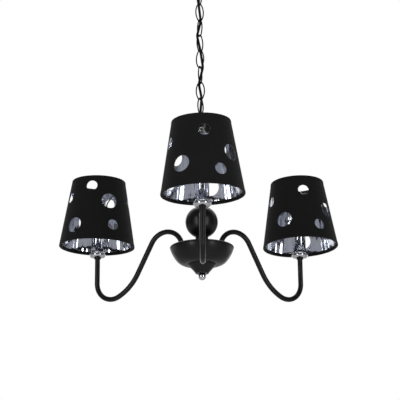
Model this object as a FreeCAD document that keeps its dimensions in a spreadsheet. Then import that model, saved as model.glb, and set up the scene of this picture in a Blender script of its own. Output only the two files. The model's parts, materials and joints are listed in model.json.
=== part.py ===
import FreeCAD, Part
import math
import os

import Sketcher
from FreeCAD import Placement, Rotation, Vector

# Three-arm chandelier on a chain, in millimetres.
# The origin is the middle of the ceiling bracket's upper face, in the ceiling's plane.
# +Z points up, and the front arm points along -Y.

SIZES = (
    # name, value, meaning
    ("canopy_radius", 60.0, "ceiling canopy, rim"),
    ("canopy_depth", 37.0, "ceiling canopy, ceiling to underside"),
    ("canopy_wall", 1.2, "ceiling canopy, sheet"),
    ("canopy_floor_radius", 16.0, "ceiling canopy, flat round the loop"),
    ("canopy_band", 4.0, "ceiling canopy, upright band at the rim"),
    ("canopy_arc", 46.0, "ceiling canopy, radius of its flank"),
    ("slot_margin", 3.5, "ceiling bracket, metal past each slot"),
    ("bracket_width", 22.0, "ceiling bracket, across"),
    ("bracket_sheet", 2.0, "ceiling bracket, thickness"),
    ("bracket_drop", 20.0, "ceiling to the top of the bracket's dropped middle"),
    ("bracket_middle", 58.0, "bracket's dropped middle, length"),
    ("bracket_bend", 5.0, "run of each sloping step of the bracket"),
    ("slot_spacing", 86.0, "ceiling screw slots, centre to centre"),
    ("slot_width", 5.0, "ceiling screw slots, width"),
    ("slot_length", 11.0, "ceiling screw slots, end to end"),
    ("block_length", 16.0, "terminal block, along the bracket"),
    ("block_width", 20.0, "terminal block, across the bracket"),
    ("block_height", 17.0, "terminal block, height"),
    ("block_offset", 12.0, "terminal block, nipple axis to its near face"),
    ("entry_height", 11.0, "terminal block, cable entry above its foot"),
    ("thread_radius", 5.0, "threaded tubes, outside"),
    ("tube_bore", 3.6, "threaded tubes, radius of the bore"),
    ("screw_gap", 0.05, "radial clearance of a screwed fit"),
    ("hole_gap", 0.15, "radial clearance of a hole round a tube"),
    ("nut_flats", 14.0, "thin nuts, across flats"),
    ("nut_height", 3.0, "thin nuts, height"),
    ("thread_end", 1.5, "length of thread that shows past a nut"),
    ("hook_wire", 3.6, "canopy loop, wire"),
    ("hook_height", 34.0, "canopy loop, outside height of the ring"),
    ("hook_width", 22.0, "canopy loop, outside width of the ring"),
    ("hook_end_arc", 7.0, "canopy loop, bend at its ends"),
    ("hook_heading", 33.0, "canopy loop, heading of its plane, degrees"),
    ("boss_radius", 8.0, "bosses of both loops"),
    ("boss_height", 6.0, "bosses of both loops"),
    ("boss_bore", 3.2, "bosses of both loops, radius of the cable hole"),
    ("ring_sink", 3.8, "how far a ring's foot is let into its boss"),
    ("link_length", 38.3, "chain link, outside length"),
    ("link_width", 18.6, "chain link, outside width"),
    ("link_wire", 2.2, "chain link, wire"),
    ("link_end_arc", 5.2, "chain link, bend at its ends"),
    ("link_gap", 0.3, "play between two linked wires"),
    ("cable_diameter", 4.8, "supply cable"),
    ("cable_play", 0.4, "gap between the cable and the wires that it passes"),
    ("cable_arc", 26.0, "cable, radius of its bends between the links"),
    ("cable_turn", 7.0, "cable, radius of its turns into a connector"),
    ("cable_drop", 5.0, "cable, straight length past a boss"),
    ("top_loop_wire", 2.6, "top loop, wire"),
    ("top_loop_height", 37.0, "top loop, outside height of the ring"),
    ("top_loop_width", 20.0, "top loop, outside width of the ring"),
    ("top_loop_end_arc", 5.6, "top loop, bend at its ends"),
    ("top_loop_heading", 53.0, "top loop, heading of its plane, degrees"),
    ("neck_collar_height", 2.5, "collar between top loop and upper ball"),
    ("upper_ball_radius", 22.5, "upper ball"),
    ("lower_ball_radius", 31.2, "lower ball"),
    ("ball_wall", 1.2, "balls, sheet"),
    ("seat_margin", 0.5, "a ball's flat, past what stands on it"),
    ("column_radius", 8.0, "column tube, outside"),
    ("column_wall", 1.0, "column tube, wall"),
    ("column_length", 141.6, "column tube, length"),
    ("ball_collar_radius", 12.2, "collar under the lower ball"),
    ("ball_collar_height", 20.3, "collar under the lower ball"),
    ("ball_collar_wall", 1.2, "collar under the lower ball, wall"),
    ("lid_thickness", 1.6, "dish lid"),
    ("lid_ledge", 3.0, "dish flange that the lid rests on, width"),
    ("dish_wall", 1.2, "dish, sheet"),
    ("dish_depth", 35.4, "dish, rim to underside"),
    ("dish_base_radius", 30.0, "dish, flat underside"),
    ("dish_low_arc", 24.0, "dish, radius of the lower flank"),
    ("dish_high_arc", 64.0, "dish, radius of the upper flank"),
    ("dish_shoulder", 39.9, "dish, slope where the flanks join, degrees"),
    ("bead_height", 4.6, "dish, rolled rim, height"),
    ("bead_stand", 0.7, "dish, rolled rim, past the flank"),
    ("bead_width", 3.4, "dish, rolled rim, width"),
    ("strap_width", 26.0, "dish strap, outside width"),
    ("strap_depth", 12.0, "dish strap, depth"),
    ("strap_sheet", 2.5, "dish strap, thickness"),
    ("stud_radius", 3.0, "stud of the dish strap"),
    ("cap_radius", 27.0, "cap under the dish, upper edge"),
    ("cap_edge", 0.9, "cap under the dish, upright edge"),
    ("cap_arc", 110.0, "cap under the dish, radius of its hollow flank"),
    ("cap_foot_radius", 13.0, "cap under the dish, foot"),
    ("cap_depth", 17.2, "cap under the dish, height"),
    ("cap_round", 1.4, "cap under the dish, rounding of its foot"),
    ("cap_wall", 1.2, "cap under the dish, sheet"),
    ("finial_radius", 7.4, "finial ball"),
    ("finial_neck", 5.0, "finial, radius of its flat top"),
    ("finial_bore", 7.0, "finial, depth of its thread"),
    ("connector_near", 17.0, "wire connectors, axis to inner face"),
    ("connector_length", 11.0, "wire connectors, outwards"),
    ("connector_width", 9.0, "wire connectors, across"),
    ("connector_height", 15.0, "wire connectors, height"),
    ("connector_entry", 10.5, "wire connectors, cable entry above the foot"),
    ("jumper_radius", 1.6, "leads between the connectors"),
    ("arm_radius", 5.0, "arm tube, outside"),
    ("arm_bore", 4.0, "arm tube, radius of the bore"),
    ("arm_root", 43.5, "arm root, from the axis"),
    ("arm_root_rise", 4.5, "arm root, straight length over the lid"),
    ("arm_apex_arc", 36.3, "arm, bend over the dish"),
    ("arm_slope_length", 65.8, "arm, straight run down and out"),
    ("arm_sweep_arc", 97.0, "arm, wide bend"),
    ("arm_sweep_angle", 35.4, "arm, turn of the wide bend, degrees"),
    ("arm_end_arc", 35.4, "arm, bend up to the cup"),
    ("arm_end_angle", 115.1, "arm, turn of the bend up to the cup, degrees"),
    ("arm_end_rise", 53.5, "arm, straight run up to the cup"),
    ("arm_in_holder", 13.0, "arm, length inside the cup and lampholder"),
    ("lead_radius", 2.5, "lead in the arm"),
    ("lead_turn", 8.0, "lead in the arm, bend to its connector"),
    ("cup_nut_radius", 6.7, "collar nut under the cup"),
    ("cup_nut_height", 3.0, "collar nut under the cup"),
    ("cup_base_radius", 12.6, "drip cup, flat base"),
    ("cup_belly_radius", 16.3, "drip cup, widest"),
    ("cup_belly_height", 4.6, "drip cup, base to widest"),
    ("cup_height", 10.4, "drip cup, base to mouth"),
    ("cup_wall", 0.8, "drip cup, sheet"),
    ("cup_low_arc", 5.2, "drip cup, radius under its belly"),
    ("cup_high_arc", 8.6, "drip cup, radius over its belly"),
    ("sleeve_radius", 12.25, "candle sleeve, outside"),
    ("sleeve_wall", 1.0, "candle sleeve, wall"),
    ("sleeve_height", 74.4, "candle sleeve, height"),
    ("sleeve_gap", 0.2, "candle sleeve, play in the cup's mouth and round the holder"),
    ("holder_stem_radius", 8.0, "lampholder, stem"),
    ("holder_stem_height", 36.0, "lampholder, stem"),
    ("holder_wire_bore", 3.0, "lampholder, radius of the wire hole"),
    ("holder_contact", 14.0, "lampholder, floor under the socket"),
    ("holder_recess", 2.2, "lampholder, below the sleeve's top"),
    ("socket_bore", 7.1, "lampholder, radius of the socket"),
    ("bulb_radius", 17.5, "bulb, widest"),
    ("bulb_seat", 22.7, "bulb, lampholder's top to its widest"),
    ("bulb_cap_radius", 6.9, "bulb, screw cap"),
    ("bulb_cap_length", 17.8, "bulb, screw cap and contact, in the socket"),
    ("bulb_neck_radius", 9.5, "bulb, glass at the neck"),
    ("bulb_tip_length", 51.5, "bulb, widest to tip"),
    ("bulb_glass", 0.8, "bulb, glass"),
    ("clip_wire", 1.6, "bulb clip, wire"),
    ("clip_gap", 0.25, "bulb clip, play on the bulb"),
    ("clip_spread", 4.0, "bulb clip, its two rings above and below the belly"),
    ("clip_opening", 70.0, "bulb clip, open part of each ring, degrees"),
    ("post_radius", 1.5, "bulb clip, posts between the rings"),
    ("pin_radius", 1.5, "bulb clip, pins that the shade tips on"),
    ("pin_gap", 0.05, "eye round a pin, radial clearance"),
    ("pin_play", 0.25, "eye on a pin, play to each side"),
    ("pin_head_radius", 2.4, "head of a pin"),
    ("pin_head", 1.0, "head of a pin, thickness"),
    ("eye_place", 23.0, "frame eye, from the bulb's axis"),
    ("eye_radius", 3.4, "frame eye, outside"),
    ("eye_thickness", 2.0, "frame eye, thickness"),
    ("shade_height", 134.0, "shade, height"),
    ("shade_bottom_radius", 75.0, "shade, radius at its bottom"),
    ("shade_top_radius", 53.0, "shade, radius at its top"),
    ("shade_wall", 1.2, "shade, fabric and lining together"),
    ("shade_below_pivot", 73.7, "shade, bottom edge below the tipping axis"),
    ("small_hole", 21.6, "shade, small round holes"),
    ("big_hole", 31.0, "shade, big round holes"),
    ("frame_wire", 2.4, "shade frame, wire"),
    ("frame_inset", 2.4, "shade frame, each ring from its edge of the shade"),
    ("frame_gap", 0.05, "shade frame, play inside the lining"),
    ("leg_rise", 20.0, "shade frame, upright foot of each leg"),
    ("leg_bend", 12.0, "shade frame, bend of each leg"),
)

# Chain links from the top down: the heading of each link's plane, in degrees from +X.
LINK_HEADINGS = (-57.0, 24.0, -57.0, 45.0, -28.0, 65.0, -12.0)

# Arms, shades and what they carry: heading, then how far the shade leans, about which heading,
# and how far its pattern of holes is turned, all in degrees.
ARMS = (
    ("front", -90.0, 1.80, -27.7, -3.5),
    ("left", 150.5, 1.86, 45.1, 152.0),
    ("right", 34.1, 2.09, -136.6, -0.5),
)

# Holes in a shade: heading in degrees, height as a share of the shade's height, big or small.
HOLES = (
    (-82.0, 0.761, "small"),
    (-119.5, 0.306, "big"),
    (-59.7, 0.216, "small"),
    (-35.0, 0.478, "big"),
    (-156.0, 0.660, "small"),
    (108.0, 0.836, "small"),
    (143.0, 0.605, "big"),
    (81.0, 0.235, "big"),
    (148.0, 0.235, "small"),
    (55.0, 0.700, "small"),
    (14.0, 0.730, "small"),
    (17.0, 0.340, "big"),
)


class Size:
    """A number together with its formula in the sheet, so that what is bound to it follows."""

    def __init__(self, value, formula=None):
        self.value = float(value)
        self.formula = formula or f"({value})"

    def __add__(self, other):
        other = as_size(other)
        return Size(self.value + other.value, f"({self.formula} + {other.formula})")

    def __sub__(self, other):
        other = as_size(other)
        return Size(self.value - other.value, f"({self.formula} - {other.formula})")

    def __mul__(self, other):
        other = as_size(other)
        return Size(self.value * other.value, f"({self.formula} * {other.formula})")

    def __truediv__(self, other):
        other = as_size(other)
        return Size(self.value / other.value, f"({self.formula} / {other.formula})")

    def __neg__(self):
        return ZERO - self

    def __radd__(self, other):
        return as_size(other) + self


def as_size(number):
    return number if isinstance(number, Size) else Size(number)


def root(number):
    return Size(math.sqrt(number.value), f"sqrt({number.formula})")


def sine(degrees):
    return Size(math.sin(math.radians(degrees.value)), f"sin(1 deg * {degrees.formula})")


def cosine(degrees):
    return Size(math.cos(math.radians(degrees.value)), f"cos(1 deg * {degrees.formula})")


def leg(hypotenuse, other):
    """The second short side of a right-angled triangle."""
    return root(hypotenuse * hypotenuse - other * other)


doc = FreeCAD.newDocument("chandelier")
sheet = doc.addObject("Spreadsheet::Sheet", "dims")
for row, (name, value, meaning) in enumerate(SIZES, 1):
    sheet.set(f"A{row}", meaning)
    sheet.set(f"B{row}", str(value))
    sheet.setAlias(f"B{row}", name)
doc.recompute()


class Dimensions:
    """The sheet's sizes by name."""


d = Dimensions()
for name, value, meaning in SIZES:
    setattr(d, name, Size(value, f"dims.{name}"))

ZERO = Size(0)
FULL_TURN = 360.0


# Outlines and features


class Bend:
    """A round stretch of an outline up to its next point: it bulges to the left or the right."""

    def __init__(self, radius, side):
        self.radius = as_size(radius)
        self.left = side == "left"


def base_plane(body, role):
    return next(feature for feature in body.Origin.OriginFeatures if feature.Role == role)


def new_sketch(body, role, name):
    sketch = body.newObject("Sketcher::SketchObject", name)
    sketch.AttachmentSupport = (base_plane(body, role), [""])
    sketch.MapMode = "FlatFace"
    return sketch


def bind(thing, **sizes):
    for field, size in sizes.items():
        thing.setExpression(field, as_size(size).formula)


def arc_between(start, end, bend):
    """The arc of a bend, and whether it runs from start to end as the sketcher counts."""
    across = end - start
    half = across.Length / 2
    height = math.sqrt(max(bend.radius.value ** 2 - half ** 2, 0))
    left = Vector(-across.y, across.x, 0).normalize()
    centre = (start + end) * 0.5 - left * height * (1 if bend.left else -1)
    first, last = (end, start) if bend.left else (start, end)
    angles = [math.atan2(point.y - centre.y, point.x - centre.x) for point in (first, last)]
    circle = Part.Circle(centre, Vector(0, 0, 1), bend.radius.value)
    return Part.ArcOfCircle(circle, angles[0], angles[1]), not bend.left


def draw(sketch, items, closed=True):
    """Draws one outline of points and bends, with each corner and radius bound to the sheet."""
    corners = [item for item in items if not isinstance(item, Bend)]
    bends = {}
    for index, item in enumerate(items):
        if isinstance(item, Bend):
            bends[sum(not isinstance(earlier, Bend) for earlier in items[:index]) - 1] = item
    corners = [(as_size(x), as_size(y)) for x, y in corners]
    points = [Vector(x.value, y.value, 0) for x, y in corners]
    count = len(points) if closed else len(points) - 1
    pieces = []
    for index in range(count):
        start, end = points[index], points[(index + 1) % len(points)]
        forward = True
        if index in bends:
            shape, forward = arc_between(start, end, bends[index])
        else:
            shape = Part.LineSegment(start, end)
        pieces.append((sketch.addGeometry(shape), forward))
    for index in range(count if closed else count - 1):
        one, one_forward = pieces[index]
        two, two_forward = pieces[(index + 1) % count]
        joint = Sketcher.Constraint("Coincident", one, 2 if one_forward else 1, two, 1 if two_forward else 2)
        sketch.addConstraint(joint)
    for index, (x, y) in enumerate(corners):
        piece, forward = pieces[min(index, count - 1)]
        at_start = index < count
        vertex = 1 if at_start == forward else 2
        for kind, size in (("DistanceX", x), ("DistanceY", y)):
            number = sketch.addConstraint(Sketcher.Constraint(kind, -1, 1, piece, vertex, size.value))
            sketch.setExpression(f"Constraints[{number}]", size.formula)
    for index, bend in bends.items():
        number = sketch.addConstraint(Sketcher.Constraint("Radius", pieces[index][0], bend.radius.value))
        sketch.setExpression(f"Constraints[{number}]", bend.radius.formula)


def draw_circle(sketch, x, y, radius):
    x, y, radius = as_size(x), as_size(y), as_size(radius)
    centre = Vector(x.value, y.value, 0)
    circle = sketch.addGeometry(Part.Circle(centre, Vector(0, 0, 1), radius.value))
    for kind, size in (("DistanceX", x), ("DistanceY", y)):
        number = sketch.addConstraint(Sketcher.Constraint(kind, -1, 1, circle, 3, size.value))
        sketch.setExpression(f"Constraints[{number}]", size.formula)
    number = sketch.addConstraint(Sketcher.Constraint("Radius", circle, radius.value))
    sketch.setExpression(f"Constraints[{number}]", radius.formula)


def new_body(name):
    return doc.addObject("PartDesign::Body", name)


def turned(name, *outlines):
    """A body turned about its Z axis from outlines of (radius, height)."""
    body = new_body(name)
    section = new_sketch(body, "XZ_Plane", f"{name}_section")
    for outline in outlines:
        draw(section, outline)
    turn = body.newObject("PartDesign::Revolution", f"{name}_turn")
    turn.Profile = section
    turn.ReferenceAxis = (section, ["V_Axis"])
    turn.Angle = FULL_TURN
    return body


def tube(name, inside, outside, low, high):
    """An upright tube, or ring, about its Z axis."""
    return turned(name, [(inside, low), (outside, low), (outside, high), (inside, high)])


def bent_rod(body, name, route, radius, bore=None):
    """Adds a round rod or tube along a flat route of (x, z), square to the route's first run."""
    path = new_sketch(body, "XZ_Plane", f"{name}_route")
    draw(path, route, closed=False)
    section = new_sketch(body, "XY_Plane", f"{name}_section")
    (first_x, first_z), (next_x, next_z) = [[as_size(number) for number in point] for point in route[:2]]
    slant = Rotation(Vector(0, 1, 0), math.degrees(math.atan2(
        (first_x - next_x).value, (first_z - next_z).value)))
    section.AttachmentOffset = Placement(Vector(first_x.value, 0, first_z.value), slant)
    section.setExpression(".AttachmentOffset.Base.x", first_x.formula)
    section.setExpression(".AttachmentOffset.Base.z", first_z.formula)
    draw_circle(section, 0, 0, radius)
    if bore is not None:
        draw_circle(section, 0, 0, bore)
    doc.recompute()
    pipe = body.newObject("PartDesign::AdditivePipe", name)
    pipe.Profile = section
    pipe.Spine = (path, [f"Edge{number + 1}" for number in range(path.GeometryCount)])
    return pipe


def ring_pipe(body, name, height, width, wire, end_arc, top):
    """Adds an upright oval ring of wire in the XZ plane, given by its outside sizes: wide arcs at
    its sides and tight ones at its ends, each meeting the next without a corner."""
    half, reach = (width - wire) / 2, (height - wire) / 2
    level = top - wire / 2 - reach
    end_place = reach - end_arc
    side_arc = (half * half + end_place * end_place - end_arc * end_arc) / ((half - end_arc) * 2)
    meet_x = (side_arc - half) * end_arc / (side_arc - end_arc)
    meet_z = side_arc * end_place / (side_arc - end_arc)
    side, end = Bend(side_arc, "right"), Bend(end_arc, "right")
    path = new_sketch(body, "XZ_Plane", f"{name}_route")
    draw(path, [
        (half, level), side, (meet_x, level + meet_z), end, (0, level + reach),
        end, (-meet_x, level + meet_z), side, (-half, level),
        side, (-meet_x, level - meet_z), end, (0, level - reach),
        end, (meet_x, level - meet_z), side,
    ])
    section = new_sketch(body, "XY_Plane", f"{name}_section")
    section.setExpression(".AttachmentOffset.Base.z", level.formula)
    draw_circle(section, half, 0, wire / 2)
    doc.recompute()
    pipe = body.newObject("PartDesign::AdditivePipe", name)
    pipe.Profile = section
    pipe.Spine = (path, [f"Edge{number + 1}" for number in range(path.GeometryCount)])
    return pipe


def round_feature(body, kind, name, radius, height, low):
    """Adds or cuts an upright cylinder about the body's Z axis."""
    feature = body.newObject(kind, name)
    feature.AttachmentSupport = (base_plane(body, "XY_Plane"), [""])
    feature.MapMode = "FlatFace"
    feature.setExpression(".AttachmentOffset.Base.z", as_size(low).formula)
    bind(feature, Radius=radius, Height=height)
    return feature


def add_round(body, name, radius, height, low):
    return round_feature(body, "PartDesign::AdditiveCylinder", name, radius, height, low)


def cut_round(body, name, radius, height, low):
    return round_feature(body, "PartDesign::SubtractiveCylinder", name, radius, height, low)


def add_across(body, kind, name, radius, length, start):
    """Adds or cuts a cylinder along the body's X axis."""
    feature = body.newObject(kind, name)
    feature.AttachmentSupport = (base_plane(body, "XY_Plane"), [""])
    feature.MapMode = "FlatFace"
    feature.AttachmentOffset = Placement(Vector(), Rotation(Vector(0, 1, 0), 90))
    feature.setExpression(".AttachmentOffset.Base.x", as_size(start).formula)
    bind(feature, Radius=radius, Height=length)
    return feature


def place(thing, x=0, y=0, z=0, heading=0):
    """Puts a piece at a point, turned about Z by a heading in degrees."""
    spots = {"Base.x": x, "Base.y": y, "Base.z": z}
    for field, size in spots.items():
        thing.setExpression(f".Placement.{field}", as_size(size).formula)
    thing.setExpression(".Placement.Rotation.Angle", f"1 deg * {as_size(heading).formula}")


def polar(distance, heading):
    """The point at a distance from the Z axis, as (x, y)."""
    heading = as_size(heading)
    return distance * cosine(heading), distance * sine(heading)


def group(name, members):
    """Several separate solids as one node."""
    compound = doc.addObject("Part::Compound", name)
    compound.Links = members
    return compound


def hex_nut(name, x, y, foot, heading=0):
    """A thin nut on a threaded tube."""
    prism = doc.addObject("Part::Prism", f"{name}_hexagon")
    prism.Polygon = 6
    bind(prism, Circumradius=d.nut_flats / 2 / cosine(Size(30)), Height=d.nut_height)
    bore = doc.addObject("Part::Cylinder", f"{name}_bore")
    bind(bore, Radius=d.thread_radius + d.screw_gap, Height=d.nut_height)
    nut = doc.addObject("Part::Cut", name)
    nut.Base = prism
    nut.Tool = bore
    place(nut, x, y, foot, heading)
    return nut


parts = {}


def keep(name, thing):
    """Names a finished sub-part."""
    thing.Label = name
    parts[name] = thing
    return thing


# Levels, from the ceiling down

bracket_top = -d.bracket_drop
canopy_floor = -d.canopy_depth
hook_boss_foot = canopy_floor - d.boss_height
hook_ring_top = hook_boss_foot + d.ring_sink
hook_pivot = hook_ring_top - d.hook_height + d.hook_wire / 2
link_reach = d.link_length / 2 - d.link_wire / 2
link_pitch = d.link_length - d.link_wire * 2 - d.link_gap
first_link = hook_pivot + d.hook_wire / 2 + d.link_wire / 2 + d.link_gap - link_reach
link_levels = [first_link - link_pitch * number for number in range(len(LINK_HEADINGS))]
last_pivot = link_levels[-1] - link_reach
crown = last_pivot + d.link_wire / 2 + d.link_gap + d.top_loop_wire / 2
top_ring_top = crown + d.top_loop_wire / 2
top_boss_top = top_ring_top - d.top_loop_height + d.ring_sink
top_boss_foot = top_boss_top - d.boss_height
upper_seat = d.column_radius + d.seat_margin
upper_half = leg(d.upper_ball_radius, upper_seat)
upper_ball_level = top_boss_foot - d.neck_collar_height - upper_half
column_top = upper_ball_level - upper_half
column_foot = column_top - d.column_length
lower_seat = d.ball_collar_radius + d.seat_margin
lower_ball_level = column_foot - leg(d.lower_ball_radius, upper_seat)
collar_top = lower_ball_level - leg(d.lower_ball_radius, lower_seat)
lid_top = collar_top - d.ball_collar_height
lid_foot = lid_top - d.lid_thickness
dish_underside = lid_top - d.dish_depth
dish_floor = dish_underside + d.dish_wall
strap_top = lid_foot - d.nut_height
rod_foot = strap_top - d.strap_sheet - d.nut_height - d.thread_end
cap_underside = dish_underside - d.cap_depth

# Arm geometry: the slopes on both sides of its wide bend, and where its cup stands

arm_steep = Size(180) - d.arm_end_angle - d.arm_sweep_angle
arm_flat = d.arm_end_angle - 90
arm_apex = d.arm_root + d.arm_apex_arc
arm_slope_start = (
    arm_apex + d.arm_apex_arc * cosine(arm_steep),
    d.arm_root_rise + d.arm_apex_arc * sine(arm_steep),
)
arm_slope_end = (
    arm_slope_start[0] + d.arm_slope_length * sine(arm_steep),
    arm_slope_start[1] - d.arm_slope_length * cosine(arm_steep),
)
arm_sweep_end = (
    arm_slope_end[0] + d.arm_sweep_arc * (cosine(arm_steep) - sine(arm_flat)),
    arm_slope_end[1] + d.arm_sweep_arc * (sine(arm_steep) - cosine(arm_flat)),
)
arm_rise_start = (
    arm_sweep_end[0] + d.arm_end_arc * (sine(arm_flat) + 1),
    arm_sweep_end[1] + d.arm_end_arc * cosine(arm_flat),
)
cup_place = arm_rise_start[0]
cup_height_over_lid = arm_rise_start[1] + d.arm_end_rise
cup_level = lid_top + cup_height_over_lid
sleeve_top = cup_level + d.cup_wall + d.sleeve_height
holder_top = sleeve_top - d.holder_recess
pivot_level = holder_top + d.bulb_seat


# Ceiling fitting


def ceiling_bracket():
    body = new_body("ceiling_bracket")
    side = new_sketch(body, "XZ_Plane", "bracket_side")
    end, mid = (d.slot_spacing + d.slot_length) / 2 + d.slot_margin, d.bracket_middle / 2
    step = mid + d.bracket_bend
    low, sheet_metal = bracket_top, d.bracket_sheet
    upper = [(-end, 0), (-step, 0), (-mid, low), (mid, low), (step, 0), (end, 0)]
    lower = [
        (end, -sheet_metal),
        (step + sheet_metal, -sheet_metal),
        (mid + sheet_metal, low - sheet_metal),
        (-mid - sheet_metal, low - sheet_metal),
        (-step - sheet_metal, -sheet_metal),
        (-end, -sheet_metal),
    ]
    draw(side, upper + lower)
    pad = body.newObject("PartDesign::Pad", "bracket_pad")
    pad.Profile = side
    pad.Midplane = True
    bind(pad, Length=d.bracket_width)
    cuts = new_sketch(body, "XY_Plane", "bracket_cuts")
    draw_circle(cuts, 0, 0, d.thread_radius + d.hole_gap)
    half = (d.slot_length - d.slot_width) / 2
    for side_sign in (1, -1):
        centre = d.slot_spacing / 2 * side_sign
        near, far = centre - half, centre + half
        edge = d.slot_width / 2
        draw(cuts, [
            (near, -edge), (far, -edge), Bend(edge, "right"), (far + edge, 0), Bend(edge, "right"),
            (far, edge), (near, edge), Bend(edge, "right"), (near - edge, 0), Bend(edge, "right"),
        ])
    cut = body.newObject("PartDesign::Pocket", "bracket_holes")
    cut.Profile = cuts
    cut.Type = "ThroughAll"
    return keep("ceiling_bracket", body)


def canopy():
    wall, floor = d.canopy_wall, canopy_floor
    inside = d.canopy_radius - wall
    hole = d.thread_radius + d.hole_gap
    body = turned("canopy", [
        (inside, 0), (d.canopy_radius, 0), (d.canopy_radius, -d.canopy_band),
        Bend(d.canopy_arc, "left"), (d.canopy_floor_radius, floor), (hole, floor),
        (hole, floor + wall), (d.canopy_floor_radius, floor + wall),
        Bend(d.canopy_arc - wall, "right"), (inside, -d.canopy_band),
    ])
    return keep("canopy", body)


def canopy_nipple():
    top = bracket_top + d.nut_height + d.thread_end
    foot = hook_boss_foot + d.ring_sink
    return keep("canopy_nipple", tube("canopy_nipple", d.tube_bore, d.thread_radius, foot, top))


def canopy_nuts():
    feet = {
        "over_bracket": bracket_top,
        "under_bracket": bracket_top - d.bracket_sheet - d.nut_height,
        "on_canopy": canopy_floor + d.canopy_wall,
    }
    nuts = [hex_nut(f"nut_{spot}", 0, 0, foot, 10 * turn) for turn, (spot, foot) in enumerate(feet.items())]
    return keep("canopy_nuts", group("canopy_nuts", nuts))


def canopy_loop():
    """The ring that the chain hangs on, with a boss that screws onto the nipple."""
    body = new_body("canopy_loop")
    add_round(body, "hook_boss", d.boss_radius, d.boss_height, hook_boss_foot)
    ring_pipe(body, "hook_ring", d.hook_height, d.hook_width, d.hook_wire, d.hook_end_arc, hook_ring_top)
    cut_round(body, "hook_cable_hole", d.boss_bore, d.boss_height + d.ring_sink, hook_boss_foot - d.ring_sink)
    cut_round(body, "hook_thread", d.thread_radius + d.screw_gap, d.boss_height, hook_boss_foot + d.ring_sink)
    place(body, heading=d.hook_heading)
    return keep("canopy_loop", body)


def terminal_block():
    box = doc.addObject("Part::Box", "terminal_block")
    bind(box, Length=d.block_length, Width=d.block_width, Height=d.block_height)
    place(box, -d.block_offset - d.block_length, -d.block_width / 2, bracket_top)
    return keep("terminal_block", box)


# Chain


def chain_link(number, level, heading):
    name = f"chain_link_{number}"
    body = new_body(name)
    ring_pipe(body, f"{name}_wire", d.link_length, d.link_width, d.link_wire, d.link_end_arc, d.link_length / 2)
    place(body, z=level, heading=heading)
    return keep(name, body)


# Supply cable, from the terminal block through the chain and the column to the dish


def plane_normal(heading):
    angle = math.radians(heading)
    return Vector(-math.sin(angle), math.cos(angle), 0)


def crossing_points():
    """Where the cable passes each crossing of two rings: beside both wires, in a corner that is
    less than a right angle from both planes, and on the other side of a ring each time."""
    headings = (d.hook_heading.value,) + LINK_HEADINGS + (d.top_loop_heading.value,)
    levels = [hook_pivot] + [level - link_reach for level in link_levels]
    wires = [d.hook_wire.value] + [d.link_wire.value] * len(LINK_HEADINGS) + [d.top_loop_wire.value]
    reaches = [(wire + d.cable_diameter.value) / 2 + d.cable_play.value for wire in wires]
    points = []
    side = 1
    for number, level in enumerate(levels):
        above, below = plane_normal(headings[number]), plane_normal(headings[number + 1])
        agree = 1 if above.dot(below) >= 0 else -1
        want_above = side * reaches[number]
        want_below = side * agree * reaches[number + 1]
        cross = above.x * below.y - above.y * below.x
        x = (want_above * below.y - want_below * above.y) / cross
        y = (above.x * want_below - below.x * want_above) / cross
        half_play = (d.link_wire.value + d.link_gap.value) / 2
        points.append(Vector(x, y, level.value + half_play))
        side = -side * agree
    return points


def bend_cut(before, corner, after, radius):
    """How far the middle of a rounded corner lies from the corner, and which way."""
    inward = (before - corner).normalize()
    outward = (after - corner).normalize()
    turn = math.pi - inward.getAngle(outward)
    return (inward + outward).normalize() * (radius / math.cos(turn / 2) - radius)


def corners_through(points, radius):
    """The corners whose rounded route passes through the inner points."""
    corners = list(points)
    for attempt in range(60):
        for number in range(1, len(points) - 1):
            cut = bend_cut(corners[number - 1], corners[number], corners[number + 1], radius)
            corners[number] = points[number] - cut
    return corners


def route_edges(points, radii):
    """Straight runs joined by tangent arcs through the points, one radius per inner point."""
    edges = []
    start = points[0]
    for before, corner, after, radius in zip(points, points[1:], points[2:], radii):
        inward = (before - corner).normalize()
        outward = (after - corner).normalize()
        turn = math.pi - inward.getAngle(outward)
        cut = radius * math.tan(turn / 2)
        first, last = corner + inward * cut, corner + outward * cut
        bisector = (inward + outward).normalize()
        middle = corner + bisector * (radius / math.cos(turn / 2) - radius)
        edges.append(Part.LineSegment(start, first).toShape())
        edges.append(Part.Arc(first, middle, last).toShape())
        print(f"cable bend: turn {math.degrees(turn):.1f} degrees, radius {radius:.1f} mm")
        start = last
    edges.append(Part.LineSegment(start, points[-1]).toShape())
    return edges


def cable_piece(name, points, radii):
    wire = Part.Wire(route_edges(points, radii))
    radius = d.cable_diameter.value / 2
    start = wire.OrderedEdges[0]
    heading = start.tangentAt(start.FirstParameter)
    profile = Part.Wire(Part.makeCircle(radius, points[0], heading))
    shape = wire.makePipeShell([profile], True, False)
    expected = math.pi * radius ** 2 * wire.Length
    print(f"{name}: volume {shape.Volume:.2f}, section times length {expected:.2f}")
    piece = doc.addObject("Part::Feature", name)
    piece.Shape = shape
    return keep(name, piece)


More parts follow.
